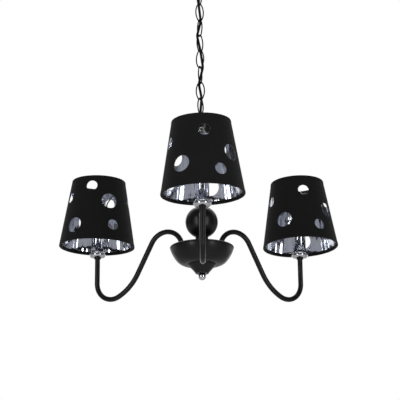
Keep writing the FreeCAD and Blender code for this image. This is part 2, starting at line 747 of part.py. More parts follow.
def supply_cable():
    bend, turn = d.cable_arc.value, d.cable_turn.value
    entry = bracket_top.value + d.entry_height.value
    below_hook = Vector(0, 0, hook_boss_foot.value - d.cable_drop.value)
    over_top_loop = Vector(0, 0, top_boss_top.value + d.cable_drop.value)
    crossings = corners_through([below_hook] + crossing_points() + [over_top_loop], bend)[1:-1]
    middles = [(one + two) * 0.5 for one, two in zip(crossings, crossings[1:])]
    top_route = [Vector(-d.block_offset.value, 0, entry), Vector(0, 0, entry), below_hook]
    cable_piece("cable_1", top_route + [crossings[0], middles[0]], [turn, bend, bend])
    for number in range(1, len(crossings) - 1):
        route = [middles[number - 1], crossings[number], middles[number]]
        cable_piece(f"cable_{number + 1}", route, [bend])
    exit_level = dish_floor.value + d.connector_entry.value
    front = math.radians(ARMS[0][1])
    near = d.connector_near.value
    end = [
        over_top_loop,
        Vector(0, 0, exit_level),
        Vector(near * math.cos(front), near * math.sin(front), exit_level),
    ]
    cable_piece(f"cable_{len(crossings)}", [middles[-1], crossings[-1]] + end, [bend, bend, turn])


# Lamp body on the axis


def top_loop():
    body = new_body("top_loop")
    add_round(body, "top_boss", d.boss_radius, d.boss_height, top_boss_foot)
    ring_pipe(body, "top_ring", d.top_loop_height, d.top_loop_width, d.top_loop_wire, d.top_loop_end_arc, top_ring_top)
    cut_round(body, "top_cable_hole", d.boss_bore, d.boss_height + d.ring_sink, top_boss_foot)
    cut_round(body, "top_thread", d.thread_radius + d.screw_gap, d.boss_height - d.ring_sink, top_boss_foot)
    place(body, heading=d.top_loop_heading)
    return keep("top_loop", body)


def loop_collar():
    hole = d.thread_radius + d.hole_gap
    body = tube("loop_collar", hole, d.column_radius, top_boss_foot - d.neck_collar_height, top_boss_foot)
    return keep("loop_collar", body)


def ball(name, radius, level, top_seat, foot_seat):
    """A hollow ball with a flat at each pole, holed for the centre rod."""
    wall = d.ball_wall
    hole = d.thread_radius + d.hole_gap
    top, foot = leg(radius, top_seat), leg(radius, foot_seat)
    top_inside, foot_inside = leg(radius - wall, top - wall), leg(radius - wall, foot - wall)
    body = turned(name, [
        (hole, top), (hole, top - wall), (top_inside, top - wall),
        Bend(radius - wall, "left"), (radius - wall, 0), Bend(radius - wall, "left"),
        (foot_inside, wall - foot), (hole, wall - foot), (hole, -foot), (foot_seat, -foot),
        Bend(radius, "right"), (radius, 0), Bend(radius, "right"), (top_seat, top),
    ])
    place(body, z=level)
    return keep(name, body)


def column_tube():
    body = tube("column_tube", d.column_radius - d.column_wall, d.column_radius, column_foot, column_top)
    return keep("column_tube", body)


def ball_collar():
    inside = d.ball_collar_radius - d.ball_collar_wall
    return keep("ball_collar", tube("ball_collar", inside, d.ball_collar_radius, lid_top, collar_top))


def centre_rod():
    top = top_boss_foot + d.boss_height - d.ring_sink
    return keep("centre_rod", tube("centre_rod", d.tube_bore, d.thread_radius, rod_foot, top))


# Dish, all heights from the lid's top face

dish_low_centre = (d.dish_base_radius, d.dish_low_arc - d.dish_depth)
shoulder_cos, shoulder_sin = cosine(d.dish_shoulder), sine(d.dish_shoulder)
dish_high_centre = (
    dish_low_centre[0] - (d.dish_high_arc - d.dish_low_arc) * shoulder_cos,
    dish_low_centre[1] + (d.dish_high_arc - d.dish_low_arc) * shoulder_sin,
)


def dish_radius_at(height, inset):
    """Radius of the dish's upper flank at a height, moved in by an inset."""
    across = leg(d.dish_high_arc - inset, height - dish_high_centre[1])
    return dish_high_centre[0] + across


dish_neck_radius = dish_radius_at(-d.bead_height, ZERO)
dish_rim_radius = dish_neck_radius + d.bead_stand
lid_radius = dish_rim_radius - d.bead_width


def dish():
    wall = d.dish_wall
    hole = d.stud_radius + d.hole_gap
    low_x, low_z = dish_low_centre
    shoulder = (low_x + d.dish_low_arc * shoulder_cos, low_z - d.dish_low_arc * shoulder_sin)
    inner_arc = d.dish_low_arc - wall
    inner_shoulder = (low_x + inner_arc * shoulder_cos, low_z - inner_arc * shoulder_sin)
    ledge_top = -d.lid_thickness
    ledge_foot = ledge_top - wall
    lip = lid_radius + d.hole_gap
    bead_mid = d.bead_height * 0.48
    body = turned("dish", [
        (lid_radius - d.lid_ledge, ledge_top), (lip, ledge_top), (lip, 0),
        Bend(d.bead_width, "left"), (dish_rim_radius, -bead_mid),
        Bend(bead_mid, "left"), (dish_neck_radius - d.bead_stand / 2, -d.bead_height * 0.85),
        (dish_neck_radius, -d.bead_height), Bend(d.dish_high_arc, "left"), shoulder,
        Bend(d.dish_low_arc, "left"), (low_x, -d.dish_depth), (hole, -d.dish_depth),
        (hole, wall - d.dish_depth), (low_x, wall - d.dish_depth),
        Bend(inner_arc, "right"), inner_shoulder, Bend(d.dish_high_arc - wall, "right"),
        (dish_radius_at(ledge_foot, wall), ledge_foot), (lid_radius - d.lid_ledge, ledge_foot),
    ])
    place(body, z=lid_top)
    return keep("dish", body)


def dish_lid():
    body = new_body("dish_lid")
    plate = new_sketch(body, "XY_Plane", "lid_plate")
    draw_circle(plate, 0, 0, lid_radius)
    draw_circle(plate, 0, 0, d.thread_radius + d.hole_gap)
    for side, heading, *rest in ARMS:
        x, y = polar(d.arm_root, heading)
        draw_circle(plate, x, y, d.arm_radius + d.hole_gap)
    pad = body.newObject("PartDesign::Pad", "lid_pad")
    pad.Profile = plate
    bind(pad, Length=d.lid_thickness)
    place(body, z=lid_foot)
    return keep("dish_lid", body)


def plate_nuts():
    nuts = []
    for side, heading, *rest in ARMS:
        x, y = polar(d.arm_root, heading)
        nuts.append(hex_nut(f"nut_{side}_over_lid", x, y, lid_top, heading))
        nuts.append(hex_nut(f"nut_{side}_under_lid", x, y, lid_foot - d.nut_height, heading + 15))
    nuts.append(hex_nut("nut_rod_under_lid", 0, 0, lid_foot - d.nut_height))
    nuts.append(hex_nut("nut_rod_under_strap", 0, 0, rod_foot + d.thread_end, 20))
    return keep("plate_nuts", group("plate_nuts", nuts))


def dish_strap():
    """The strap on the centre rod, open to front and back, whose stud holds dish and finial."""
    body = new_body("dish_strap")
    half, sheet_metal = d.strap_width / 2, d.strap_sheet
    frame = new_sketch(body, "XZ_Plane", "strap_frame")
    inner = half - sheet_metal
    draw(frame, [(-half, dish_floor), (half, dish_floor), (half, strap_top), (-half, strap_top)])
    low, high = dish_floor + sheet_metal, strap_top - sheet_metal
    draw(frame, [(-inner, low), (inner, low), (inner, high), (-inner, high)])
    pad = body.newObject("PartDesign::Pad", "strap_pad")
    pad.Profile = frame
    pad.Midplane = True
    bind(pad, Length=d.strap_depth)
    cut_round(body, "strap_rod_hole", d.thread_radius + d.screw_gap, sheet_metal * 2, high - sheet_metal / 2)
    reach = dish_floor - cap_underside + d.finial_bore - d.screw_gap * 4
    add_round(body, "strap_stud", d.stud_radius, reach + sheet_metal / 2, dish_floor - reach)
    return keep("dish_strap", body)


def lower_cap():
    wall, depth = d.cap_wall, d.cap_depth
    hole = d.stud_radius + d.hole_gap
    foot = d.cap_foot_radius
    body = turned("lower_cap", [
        (d.cap_radius, 0), (d.cap_radius, -d.cap_edge), Bend(d.cap_arc, "right"),
        (foot, d.cap_round - depth), Bend(d.cap_round, "left"), (foot - d.cap_round, -depth),
        (hole, -depth), (hole, wall - depth), (foot - wall * 1.2, wall - depth),
        Bend(d.cap_arc + wall, "left"), (d.cap_radius - wall * 1.4, -d.cap_edge), (d.cap_radius - wall * 1.4, 0),
    ])
    place(body, z=dish_underside)
    return keep("lower_cap", body)


def finial():
    bore = d.stud_radius + d.screw_gap
    drop = leg(d.finial_radius, d.finial_neck)
    body = turned("finial", [
        (bore, 0), (bore, -d.finial_bore), (0, -d.finial_bore), (0, -drop - d.finial_radius),
        Bend(d.finial_radius, "right"), (d.finial_radius, -drop), Bend(d.finial_radius, "right"),
        (d.finial_neck, 0),
    ])
    place(body, z=cap_underside)
    return keep("finial", body)


def wire_connectors():
    blocks = []
    for side, heading, *rest in ARMS:
        block = doc.addObject("Part::Box", f"connector_{side}")
        bind(block, Length=d.connector_length, Width=d.connector_width, Height=d.connector_height)
        x, y = polar(d.connector_near, heading)
        across_x, across_y = polar(d.connector_width / 2, heading - 90)
        place(block, x + across_x, y + across_y, dish_floor, heading)
        blocks.append(block)
    return keep("wire_connectors", group("wire_connectors", blocks))


# Arms, with their leads; heights from the lid's top face


def arm_route(top, foot):
    """The arm's centre line, from its top end down, round and into the lid, as (x, z)."""
    return [
        (cup_place, top), arm_rise_start, Bend(d.arm_end_arc, "left"), arm_sweep_end,
        Bend(d.arm_sweep_arc, "left"), arm_slope_end, arm_slope_start,
        Bend(d.arm_apex_arc, "right"), (arm_apex, d.arm_root_rise + d.arm_apex_arc),
        Bend(d.arm_apex_arc, "right"), (d.arm_root, d.arm_root_rise), (d.arm_root, foot),
    ]


arm_foot = -d.lid_thickness - d.nut_height - d.thread_end
arm_top = cup_height_over_lid + d.arm_in_holder


def arm(side, heading):
    name = f"arm_{side}"
    body = new_body(name)
    bent_rod(body, f"{name}_tube", arm_route(arm_top, arm_foot), d.arm_radius, d.arm_bore)
    place(body, z=lid_top, heading=heading)
    return keep(name, body)


def arm_lead(side, heading):
    """The lead from the lampholder through the arm to its wire connector."""
    body = new_body(f"lead_{side}")
    top = cup_height_over_lid + (holder_contact_foot - cup_level)
    entry = d.dish_wall - d.dish_depth + d.connector_entry
    route = arm_route(top, entry + d.lead_turn) + [
        Bend(d.lead_turn, "left"), (d.arm_root - d.lead_turn, entry),
        (d.connector_near + d.connector_length, entry),
    ]
    bent_rod(body, f"lead_{side}_wire", route, d.lead_radius)
    place(body, z=lid_top, heading=heading)
    return body


def jumper(name, start, end):
    """A lead bent round the strap from one connector to the next, between two headings."""
    ring = doc.addObject("Part::Torus", name)
    middle = d.connector_near + d.connector_length / 2
    inner = middle - d.jumper_radius
    clear = math.degrees(math.asin((d.connector_width.value / 2 + d.screw_gap.value) / inner.value))
    bind(ring, Radius1=middle, Radius2=d.jumper_radius)
    ring.Angle3 = end - start - 2 * clear
    place(ring, z=dish_floor + d.connector_entry, heading=start + clear)
    return ring


def lamp_leads():
    leads = [arm_lead(side, heading) for side, heading, *rest in ARMS]
    headings = {side: heading for side, heading, *rest in ARMS}
    leads.append(jumper("jumper_right", headings["front"], headings["right"]))
    leads.append(jumper("jumper_left", headings["left"] - FULL_TURN, headings["front"]))
    return keep("lamp_leads", group("lamp_leads", leads))


# Candles; heights from the cup's base unless a level is named


def on_arm(thing, heading, level):
    x, y = polar(cup_place, heading)
    place(thing, x, y, level, heading)


def cup_nuts():
    nuts = []
    for side, heading, *rest in ARMS:
        inside = d.arm_radius + d.screw_gap
        nut = tube(f"cup_nut_{side}", inside, d.cup_nut_radius, -d.cup_nut_height, 0)
        on_arm(nut, heading, cup_level)
        nuts.append(nut)
    return keep("cup_nuts", group("cup_nuts", nuts))


def drip_cup(side, heading):
    wall = d.cup_wall
    hole = d.arm_radius + d.hole_gap
    mouth = d.sleeve_radius + d.sleeve_gap
    belly, high = d.cup_belly_radius, d.cup_height
    level = d.cup_belly_height
    body = turned(f"drip_cup_{side}", [
        (hole, 0), (d.cup_base_radius, 0), Bend(d.cup_low_arc, "right"), (belly, level),
        Bend(d.cup_high_arc, "right"), (mouth + wall, high), (mouth, high),
        Bend(d.cup_high_arc - wall, "left"), (belly - wall, level),
        Bend(d.cup_low_arc - wall, "left"), (d.cup_base_radius, wall), (hole, wall),
    ])
    on_arm(body, heading, cup_level)
    return keep(f"drip_cup_{side}", body)


def candle_sleeve(side, heading):
    name = f"candle_sleeve_{side}"
    inside = d.sleeve_radius - d.sleeve_wall
    body = tube(name, inside, d.sleeve_radius, d.cup_wall, d.cup_wall + d.sleeve_height)
    on_arm(body, heading, cup_level)
    return keep(name, body)


holder_contact_foot = holder_top - d.bulb_cap_length - d.holder_contact


def lampholders():
    holders = []
    for side, heading, *rest in ARMS:
        foot = d.cup_wall
        stem, head = d.holder_stem_radius, d.sleeve_radius - d.sleeve_wall - d.sleeve_gap
        thread = d.arm_radius + d.screw_gap
        shoulder = foot + d.holder_stem_height
        top = holder_top - cup_level
        socket_floor = top - d.bulb_cap_length
        contact_foot = holder_contact_foot - cup_level
        holder = turned(f"lampholder_{side}", [
            (thread, foot), (stem, foot), (stem, shoulder), (head, shoulder), (head, top),
            (d.socket_bore, top), (d.socket_bore, socket_floor), (0, socket_floor),
            (0, contact_foot), (d.holder_wire_bore, contact_foot),
            (d.holder_wire_bore, d.arm_in_holder), (thread, d.arm_in_holder),
        ])
        on_arm(holder, heading, cup_level)
        holders.append(holder)
    return keep("lampholders", group("lampholders", holders))


def bulb(side, heading):
    """A candle bulb: hollow glass on a screw cap that its pumping tube runs through, with its
    widest place at height 0."""
    glass, tip, belly, neck = d.bulb_glass, d.bulb_tip_length, d.bulb_radius, d.bulb_neck_radius
    contact = -d.bulb_seat - d.bulb_cap_length
    vent = glass / 2
    glass_foot = -d.bulb_seat + glass
    crown_radius, crown_height = belly * 0.24, tip - belly * 0.31
    crown_arc, side_arc, low_arc = belly * 0.29, belly * 5.43, belly * 1.37
    neck_top = glass_foot + d.bulb_glass * 2
    outside = [
        (0, tip), (vent, tip), Bend(crown_arc, "left"), (crown_radius, crown_height),
        Bend(side_arc, "left"), (belly, 0), Bend(low_arc, "left"), (neck, neck_top), (neck, glass_foot),
    ]
    cap, pip = d.bulb_cap_radius, d.bulb_cap_radius * 0.45
    screw = [
        (cap, glass_foot - glass), (cap, contact + glass * 4), (pip, contact + glass * 2),
        (pip, contact), (vent, contact),
    ]
    inside = [
        (vent, glass_foot + glass), (neck - glass, glass_foot + glass), (neck - glass, neck_top),
        Bend(low_arc - glass, "right"), (belly - glass, 0), Bend(side_arc - glass, "right"),
        (crown_radius - glass * 0.8, crown_height - glass * 0.5),
        Bend(crown_arc - glass * 0.8, "right"), (vent, tip - glass), (0, tip - glass),
    ]
    body = turned(f"bulb_{side}", outside + screw + inside)
    on_arm(body, heading, pivot_level)
    return keep(f"bulb_{side}", body)


# Clip and shade, about the middle of the bulb's belly; X is the axis that the shade tips about


def cylinder_along_x(name, radius, start, end):
    rod = doc.addObject("Part::Cylinder", name)
    bind(rod, Radius=radius, Height=end - start)
    rod.Placement = Placement(Vector(), Rotation(Vector(0, 1, 0), 90))
    rod.setExpression(".Placement.Base.x", as_size(start).formula)
    return rod


def stand_on_arm(thing, heading, turn):
    """Puts a piece on its pivot over an arm's cup, by the arm's heading and a turn in space."""
    x, y = polar(cup_place, heading)
    thing.Placement = Placement(Vector(x.value, y.value, pivot_level.value), turn)


def bulb_clip(side, heading, tip_heading):
    name = f"bulb_clip_{side}"
    on_glass = d.bulb_radius + d.clip_gap
    pieces = []
    for level in (d.clip_spread, -d.clip_spread):
        ring = doc.addObject("Part::Torus", f"{name}_ring")
        bind(ring, Radius1=on_glass + d.clip_wire / 2, Radius2=d.clip_wire / 2)
        ring.setExpression("Angle3", (Size(FULL_TURN) - d.clip_opening).formula)
        place(ring, z=level, heading=Size(90) + d.clip_opening / 2)
        pieces.append(ring)
    post_place = on_glass + d.post_radius
    near = d.eye_place - d.eye_thickness / 2 - d.pin_play
    far = d.eye_place + d.eye_thickness / 2 + d.pin_play
    for sign in (1, -1):
        post = doc.addObject("Part::Cylinder", f"{name}_post")
        bind(post, Radius=d.post_radius, Height=d.clip_spread * 2)
        place(post, post_place * sign, 0, -d.clip_spread)
        pieces.append(post)
        for radius, start, end in (
            (d.pin_head_radius, post_place, near),
            (d.pin_radius, post_place, far),
            (d.pin_head_radius, far, far + d.pin_head),
        ):
            low, high = (start, end) if sign > 0 else (-end, -start)
            pieces.append(cylinder_along_x(f"{name}_pin", radius, low, high))
    clip = doc.addObject("Part::MultiFuse", name)
    clip.Shapes = pieces
    stand_on_arm(clip, heading, Rotation(Vector(0, 0, 1), tip_heading))
    return keep(name, clip)


shade_low = -d.shade_below_pivot
shade_high = d.shade_height - d.shade_below_pivot
shade_taper = d.shade_bottom_radius - d.shade_top_radius
shade_slant = root(d.shade_height * d.shade_height + shade_taper * shade_taper)
flare = shade_slant / d.shade_height


def shade_radius_at(height):
    return d.shade_bottom_radius - shade_taper * (height - shade_low) / d.shade_height


def shade(side, heading, turn, pattern_turn):
    name = f"shade_{side}"
    inset = d.shade_wall * flare
    body = turned(name, [
        (d.shade_bottom_radius - inset, shade_low), (d.shade_bottom_radius, shade_low),
        (d.shade_top_radius, shade_high), (d.shade_top_radius - inset, shade_high),
    ])
    tilt = math.degrees(math.atan2(shade_taper.value, d.shade_height.value))
    diameters = {"small": d.small_hole, "big": d.big_hole}
    reach = d.shade_wall.value * 8
    for number, (azimuth, share, kind) in enumerate(HOLES, 1):
        height = shade_low + d.shade_height * share
        outward = Rotation(Vector(0, 0, 1), azimuth) * Rotation(Vector(0, 1, 0), 90 - tilt)
        spot = Rotation(Vector(0, 0, 1), azimuth) * Vector(shade_radius_at(height).value, 0, height.value)
        start = spot - outward.multVec(Vector(0, 0, reach / 2))
        hole = body.newObject("PartDesign::SubtractiveCylinder", f"{name}_hole_{number}")
        hole.AttachmentSupport = (base_plane(body, "XY_Plane"), [""])
        hole.MapMode = "FlatFace"
        hole.AttachmentOffset = Placement(start, outward)
        bind(hole, Radius=diameters[kind] / 2, Height=reach)
    stand_on_arm(body, heading, turn * Rotation(Vector(0, 0, 1), pattern_turn))
    return keep(name, body)


def shade_frame(side, heading, turn):
    """The wire frame: a top ring on two legs whose eyes sit on the clip's pins, and a bottom ring."""
    name = f"shade_frame_{side}"
    wire = d.frame_wire / 2
    inward = (d.shade_wall + wire) * flare + d.frame_gap
    top_level, foot_level = shade_high - d.frame_inset, shade_low + d.frame_inset
    top_ring, foot_ring = shade_radius_at(top_level) - inward, shade_radius_at(foot_level) - inward
    body = new_body(f"{name}_spider")
    ring = body.newObject("PartDesign::AdditiveTorus", f"{name}_top_ring")
    ring.AttachmentSupport = (base_plane(body, "XY_Plane"), [""])
    ring.MapMode = "FlatFace"
    ring.AttachmentOffset = Placement(Vector(), Rotation(Vector(0, 0, 1), FULL_TURN / 8))
    ring.setExpression(".AttachmentOffset.Base.z", top_level.formula)
    bind(ring, Radius1=top_ring, Radius2=wire)
    run, climb = top_ring - d.eye_place, top_level - d.leg_rise
    slope = root(run * run + climb * climb)
    cut = d.leg_bend * (slope - climb) / run
    eye_near = d.eye_place - d.eye_thickness / 2
    for side_name, sign in (("one", 1), ("two", -1)):
        bent_rod(body, f"{name}_leg_{side_name}", [
            (top_ring * sign, top_level),
            ((d.eye_place + run * cut / slope) * sign, d.leg_rise + climb * cut / slope),
            Bend(d.leg_bend, "right" if sign > 0 else "left"),
            (d.eye_place * sign, d.leg_rise - cut),
            (d.eye_place * sign, d.pin_head_radius + d.pin_play),
        ], wire)
        eye_start = eye_near if sign > 0 else -eye_near - d.eye_thickness
        add_across(body, "PartDesign::AdditiveCylinder", f"{name}_eye_{side_name}",
                   d.eye_radius, d.eye_thickness, eye_start)
    far = d.eye_place + d.eye_thickness
    add_across(body, "PartDesign::SubtractiveCylinder", f"{name}_bore",
               d.pin_radius + d.pin_gap, far * 2, -far)
    hoop = doc.addObject("Part::Torus", f"{name}_bottom_ring")
    bind(hoop, Radius1=foot_ring, Radius2=wire)
    place(hoop, z=foot_level)
    frame = group(name, [body, hoop])
    stand_on_arm(frame, heading, turn)
    return keep(name, frame)


# The whole lamp

ceiling_bracket()
canopy()
canopy_nipple()
canopy_nuts()
canopy_loop()
terminal_block()
for number, (level, heading) in enumerate(zip(link_levels, LINK_HEADINGS), 1):
    chain_link(number, level, heading)
supply_cable()
top_loop()
loop_collar()
ball("upper_ball", d.upper_ball_radius, upper_ball_level, upper_seat, upper_seat)
column_tube()
ball("lower_ball", d.lower_ball_radius, lower_ball_level, upper_seat, lower_seat)
ball_collar()
centre_rod()
dish()
dish_lid()
plate_nuts()
dish_strap()
lower_cap()
finial()
wire_connectors()
lamp_leads()
cup_nuts()
lampholders()
for side, heading, lean, lean_heading, pattern_turn in ARMS:
    leaning = Rotation(Vector(math.cos(math.radians(lean_heading)), math.sin(math.radians(lean_heading)), 0), lean)
    arm(side, heading)
    drip_cup(side, heading)
    candle_sleeve(side, heading)
    bulb(side, heading)
    bulb_clip(side, heading, lean_heading)
    shade(side, heading, leaning, pattern_turn)
    shade_frame(side, heading, leaning * Rotation(Vector(0, 0, 1), lean_heading))

doc.recompute()
faults = [thing.Name for thing in doc.Objects if "Invalid" in thing.State or "Error" in thing.State]
for name, thing in parts.items():
    if thing.Shape.isNull() or not thing.Shape.isValid() or not thing.Shape.Solids:
        faults.append(name)
if faults:
    raise SystemExit(f"not built: {faults}")
os.makedirs("parts", exist_ok=True)
for name, thing in parts.items():
    thing.Shape.exportStep(f"parts/{name}.step")
print(f"{len(parts)} sub-parts")
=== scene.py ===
# %% [markdown]
# # A black three-arm chandelier
# The lamp hangs on a chain. Its arms rise from a dish, and each ends in a chrome candle with a
# small black shade that has round holes and a silver lining. The CAD model already has every solid
# at its place, so this lesson loads it and gives most solids only a finish. It models by hand what
# a plain solid is too simple for: the shades with their hems, and what stands inside the bulbs.
# Everything is in metres, and the ceiling is at height zero.

# %% Load the lamp
import json
import math

import bmesh
import bpy
from mathutils import Matrix, Vector


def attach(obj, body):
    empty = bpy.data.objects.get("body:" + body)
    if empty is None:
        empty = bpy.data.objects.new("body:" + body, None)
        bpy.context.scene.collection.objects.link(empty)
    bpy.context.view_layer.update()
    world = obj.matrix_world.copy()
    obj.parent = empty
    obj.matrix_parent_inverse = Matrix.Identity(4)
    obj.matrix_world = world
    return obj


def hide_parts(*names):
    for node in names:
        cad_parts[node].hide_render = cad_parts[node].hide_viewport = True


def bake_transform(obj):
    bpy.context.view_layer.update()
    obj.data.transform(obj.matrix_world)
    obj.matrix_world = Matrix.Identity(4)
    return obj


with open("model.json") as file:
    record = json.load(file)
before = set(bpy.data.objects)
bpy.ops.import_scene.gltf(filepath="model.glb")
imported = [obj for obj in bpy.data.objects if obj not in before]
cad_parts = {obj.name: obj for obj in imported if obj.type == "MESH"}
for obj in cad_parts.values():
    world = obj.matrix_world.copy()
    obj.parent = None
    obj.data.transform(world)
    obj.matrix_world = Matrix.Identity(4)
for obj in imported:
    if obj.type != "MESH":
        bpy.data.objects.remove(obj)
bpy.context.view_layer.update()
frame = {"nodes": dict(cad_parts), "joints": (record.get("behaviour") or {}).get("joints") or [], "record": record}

bpy.ops.object.select_all(action="DESELECT")
print("nodes", len(frame["nodes"]))

# %% [markdown]
# ## The camera
# The photograph was taken from well under the dish with a long lens: the outer shades show their
# linings, and the far parts are hardly smaller than the near ones. A short lens would make the
# front shade too big. The camera's height is counted down from the axis on which the front shade
# tips, because the CAD model knows where that is.

# %% Camera
SIDES = ("front", "left", "right")  # the sides that the arms and their shades stand on
FOCAL_LENGTH, SENSOR_WIDTH = 128.48, 36  # millimetres
CAMERA_ACROSS, CAMERA_DISTANCE, CAMERA_DROP = -0.01838, 2.63284, 0.80439
CAMERA_TURN = (106.7307, 0.5267, -0.1817)  # degrees
CAMERA_REACH = 60  # past the far edge of the floor

joints = {joint["name"]: joint for joint in frame["joints"]}
pivots = {side: Vector(joints[f"shade_tip_{side}"]["pos_m"]) for side in SIDES}

lens = bpy.data.cameras.new("camera")
lens.lens = FOCAL_LENGTH
lens.sensor_width = SENSOR_WIDTH
lens.clip_end = CAMERA_REACH
camera = bpy.data.objects.new("camera", lens)
bpy.context.scene.collection.objects.link(camera)
camera.location = (CAMERA_ACROSS, -CAMERA_DISTANCE, pivots["front"].z - CAMERA_DROP)
camera.rotation_euler = [math.radians(angle) for angle in CAMERA_TURN]
bpy.context.scene.camera = camera
bpy.context.scene.view_settings.view_transform = "Standard"
print("camera at", [round(value, 3) for value in camera.location])

# %% [markdown]
# ## Shader arithmetic
# A pattern such as a weave is a sum, and a sum drawn as boxes and wires is hard to read. So one
# small class stands for the output of a node, and its operators add the Math nodes. Each operator
# has a reflected form, which is used when the number comes first, as in 1 - mask.

# %% Values


class Value:
    """The output of a shader node, for use in plain arithmetic."""

    def __init__(self, shading, socket):
        self.shading = shading
        self.socket = socket

    def __add__(self, other):
        return self.shading.math("ADD", self, other)

    def __radd__(self, other):
        return self.shading.math("ADD", other, self)

    def __sub__(self, other):
        return self.shading.math("SUBTRACT", self, other)

    def __rsub__(self, other):
        return self.shading.math("SUBTRACT", other, self)

    def __mul__(self, other):
        return self.shading.math("MULTIPLY", self, other)

    def __rmul__(self, other):
        return self.shading.math("MULTIPLY", other, self)


print("values ready")

# %% [markdown]
# ## Nodes round a shader
# A material and the world are the same thing inside: a tree of nodes that ends in one shader. One
# class serves both. Its method node adds any node, from its type, its settings and then its
# sockets, and a socket takes a number, a colour or a value of the class above.

# %% Shading


class Shading:
    """The nodes of a material or of the world, added one by one round its shader."""

    def __init__(self, owner, shader):
        owner.use_nodes = True
        self.tree = owner.node_tree
        self.shader = self.tree.nodes[shader]

    def plug(self, node, sockets):
        """Sets sockets to constants, or links them to values."""
        for name, value in sockets.items():
            if isinstance(value, Value):
                self.tree.links.new(value.socket, node.inputs[name])
            else:
                node.inputs[name].default_value = value

    def surface(self, **sockets):
        """Plugs the shader; Base_Color stands for its socket Base Color."""
        self.plug(self.shader, {name.replace("_", " "): value for name, value in sockets.items()})

    def node(self, kind, settings=None, sockets=None, output=0):
        """Adds a node and gives one of its outputs."""
        made = self.tree.nodes.new(f"ShaderNode{kind}")
        for name, value in (settings or {}).items():
            setattr(made, name, value)
        self.plug(made, sockets or {})
        return Value(self, made.outputs[output])

    def math(self, operation, *inputs):
        """Adds a Math node; each input is a number or a value."""
        return self.node("Math", {"operation": operation}, dict(enumerate(inputs)))


print("shading ready")

# %% [markdown]
# ## Finishes
# A finish is a material. What is the same all over its surface is given when it is made, and what
# changes over the surface comes from noise: two colours blended by it, a roughness that follows
# it, and a relief of a real depth.

# %% Finishes
MIX_COLOURS, MIX_RESULT = (6, 7), 2  # where a Mix node of colours keeps them among its sockets


class Finish(Shading):
    """A material whose constants are given by name, and whose patterns are added after."""

    def __init__(self, name, **constants):
        self.material = bpy.data.materials.new(name)
        super().__init__(self.material, "Principled BSDF")
        self.surface(**constants)

    def noise(self, scale, detail=2, stretch=None, place=None):
        """Noise in the piece's own metres; stretch scales it along each axis."""
        place = place or self.node("TexCoord", output="Object")
        if stretch:
            place = self.node("Mapping", sockets={"Vector": place, "Scale": stretch})
        return self.node("TexNoise", sockets={"Vector": place, "Scale": scale, "Detail": detail})

    def blend_colours(self, share, one, two):
        """The one colour at a share of 0, and the other at 1."""
        first, second = MIX_COLOURS
        sockets = {"Factor": share, first: (*one, 1), second: (*two, 1)}
        return self.node("Mix", {"data_type": "RGBA"}, sockets, MIX_RESULT)

    def relief(self, height, depth, strength):
        """Bumps of that depth in metres."""
        sockets = {"Height": height, "Distance": depth, "Strength": strength}
        self.surface(Normal=self.node("Bump", sockets=sockets))


print("finishes ready")

# %% [markdown]
# ## Black enamel
# Arms, dish and balls are steel tube and sheet under a satin black coat. Sprayed enamel is never
# quite flat: it has the faint pebble of orange peel, and it is a little duller where it was
# touched. A fine noise gives the pebble, and a coarse one the gloss. The chain rubs on itself, so
# its coat is matt.

# %% Enamel
enamel = Finish("satin_black_enamel", Specular_IOR_Level=0.24)
touch = enamel.noise(26, 3)
enamel.surface(
    Base_Color=enamel.blend_colours(touch, (0.0035, 0.0035, 0.004), (0.007, 0.007, 0.0075)),
    Roughness=touch * 0.12 + 0.24,
)
enamel.relief(enamel.noise(420, 1), depth=0.00002, strength=0.08)

chain_black = Finish("chain_black", Specular_IOR_Level=0.04)
rub = chain_black.noise(240, 3)
chain_black.surface(
    Base_Color=chain_black.blend_colours(rub, (0.003, 0.003, 0.003), (0.006, 0.006, 0.0065)),
    Roughness=rub * 0.2 + 0.4,
)
chain_black.relief(chain_black.noise(900, 2), depth=0.00003, strength=0.5)
print("made", enamel.material.name, "and", chain_black.material.name)

# %% [markdown]
# ## Chrome and zinc
# The candles, cups and the finial are plated and polished. Chrome is almost a mirror, so its look
# comes from the room; only thin smears change its gloss. Nuts, rod and bracket are bright zinc,
# which keeps fine lines from the mill, so their noise is stretched along the height. Clips and
# frames are of drawn wire with the same lines, but tempered, so they are darker and duller.

# %% Chrome and zinc
chrome = Finish("polished_chrome", Metallic=1.0)
smear = chrome.noise(45, 4, stretch=(1, 1, 0.3))
chrome.surface(
    Base_Color=chrome.blend_colours(smear, (0.52, 0.53, 0.56), (0.62, 0.63, 0.66)),
    Roughness=smear * 0.09 + 0.02,
)

zinc = Finish("bright_zinc", Metallic=1.0)
drawn = zinc.noise(900, 3, stretch=(1, 1, 0.08))
zinc.surface(
    Base_Color=zinc.blend_colours(drawn, (0.42, 0.43, 0.45), (0.66, 0.67, 0.69)),
    Roughness=drawn * 0.25 + 0.2,
)
zinc.relief(drawn, depth=0.00002, strength=0.6)

spring_wire = Finish("spring_wire", Metallic=1.0)
drawn = spring_wire.noise(900, 3, stretch=(1, 1, 0.08))
spring_wire.surface(
    Base_Color=spring_wire.blend_colours(drawn, (0.06, 0.06, 0.065), (0.14, 0.14, 0.15)),
    Roughness=drawn * 0.2 + 0.35,
)
spring_wire.relief(drawn, depth=0.00002, strength=0.5)
print("made", ", ".join(finish.material.name for finish in (chrome, zinc, spring_wire)))

# %% [markdown]
# ## Sheath and plastic
# The supply cable has a smooth black sheath, scuffed where it was pulled through the links.
# Lampholders and terminal blocks are moulded white plastic with a fine grain from the mould.

# %% Sheath and plastic
sheath = Finish("black_sheath", Specular_IOR_Level=0.08)
scuff = sheath.noise(160, 3)
sheath.surface(
    Base_Color=sheath.blend_colours(scuff, (0.005, 0.005, 0.0055), (0.010, 0.010, 0.0105)),
    Roughness=scuff * 0.2 + 0.4,
)
sheath.relief(scuff, depth=0.00004, strength=0.5)

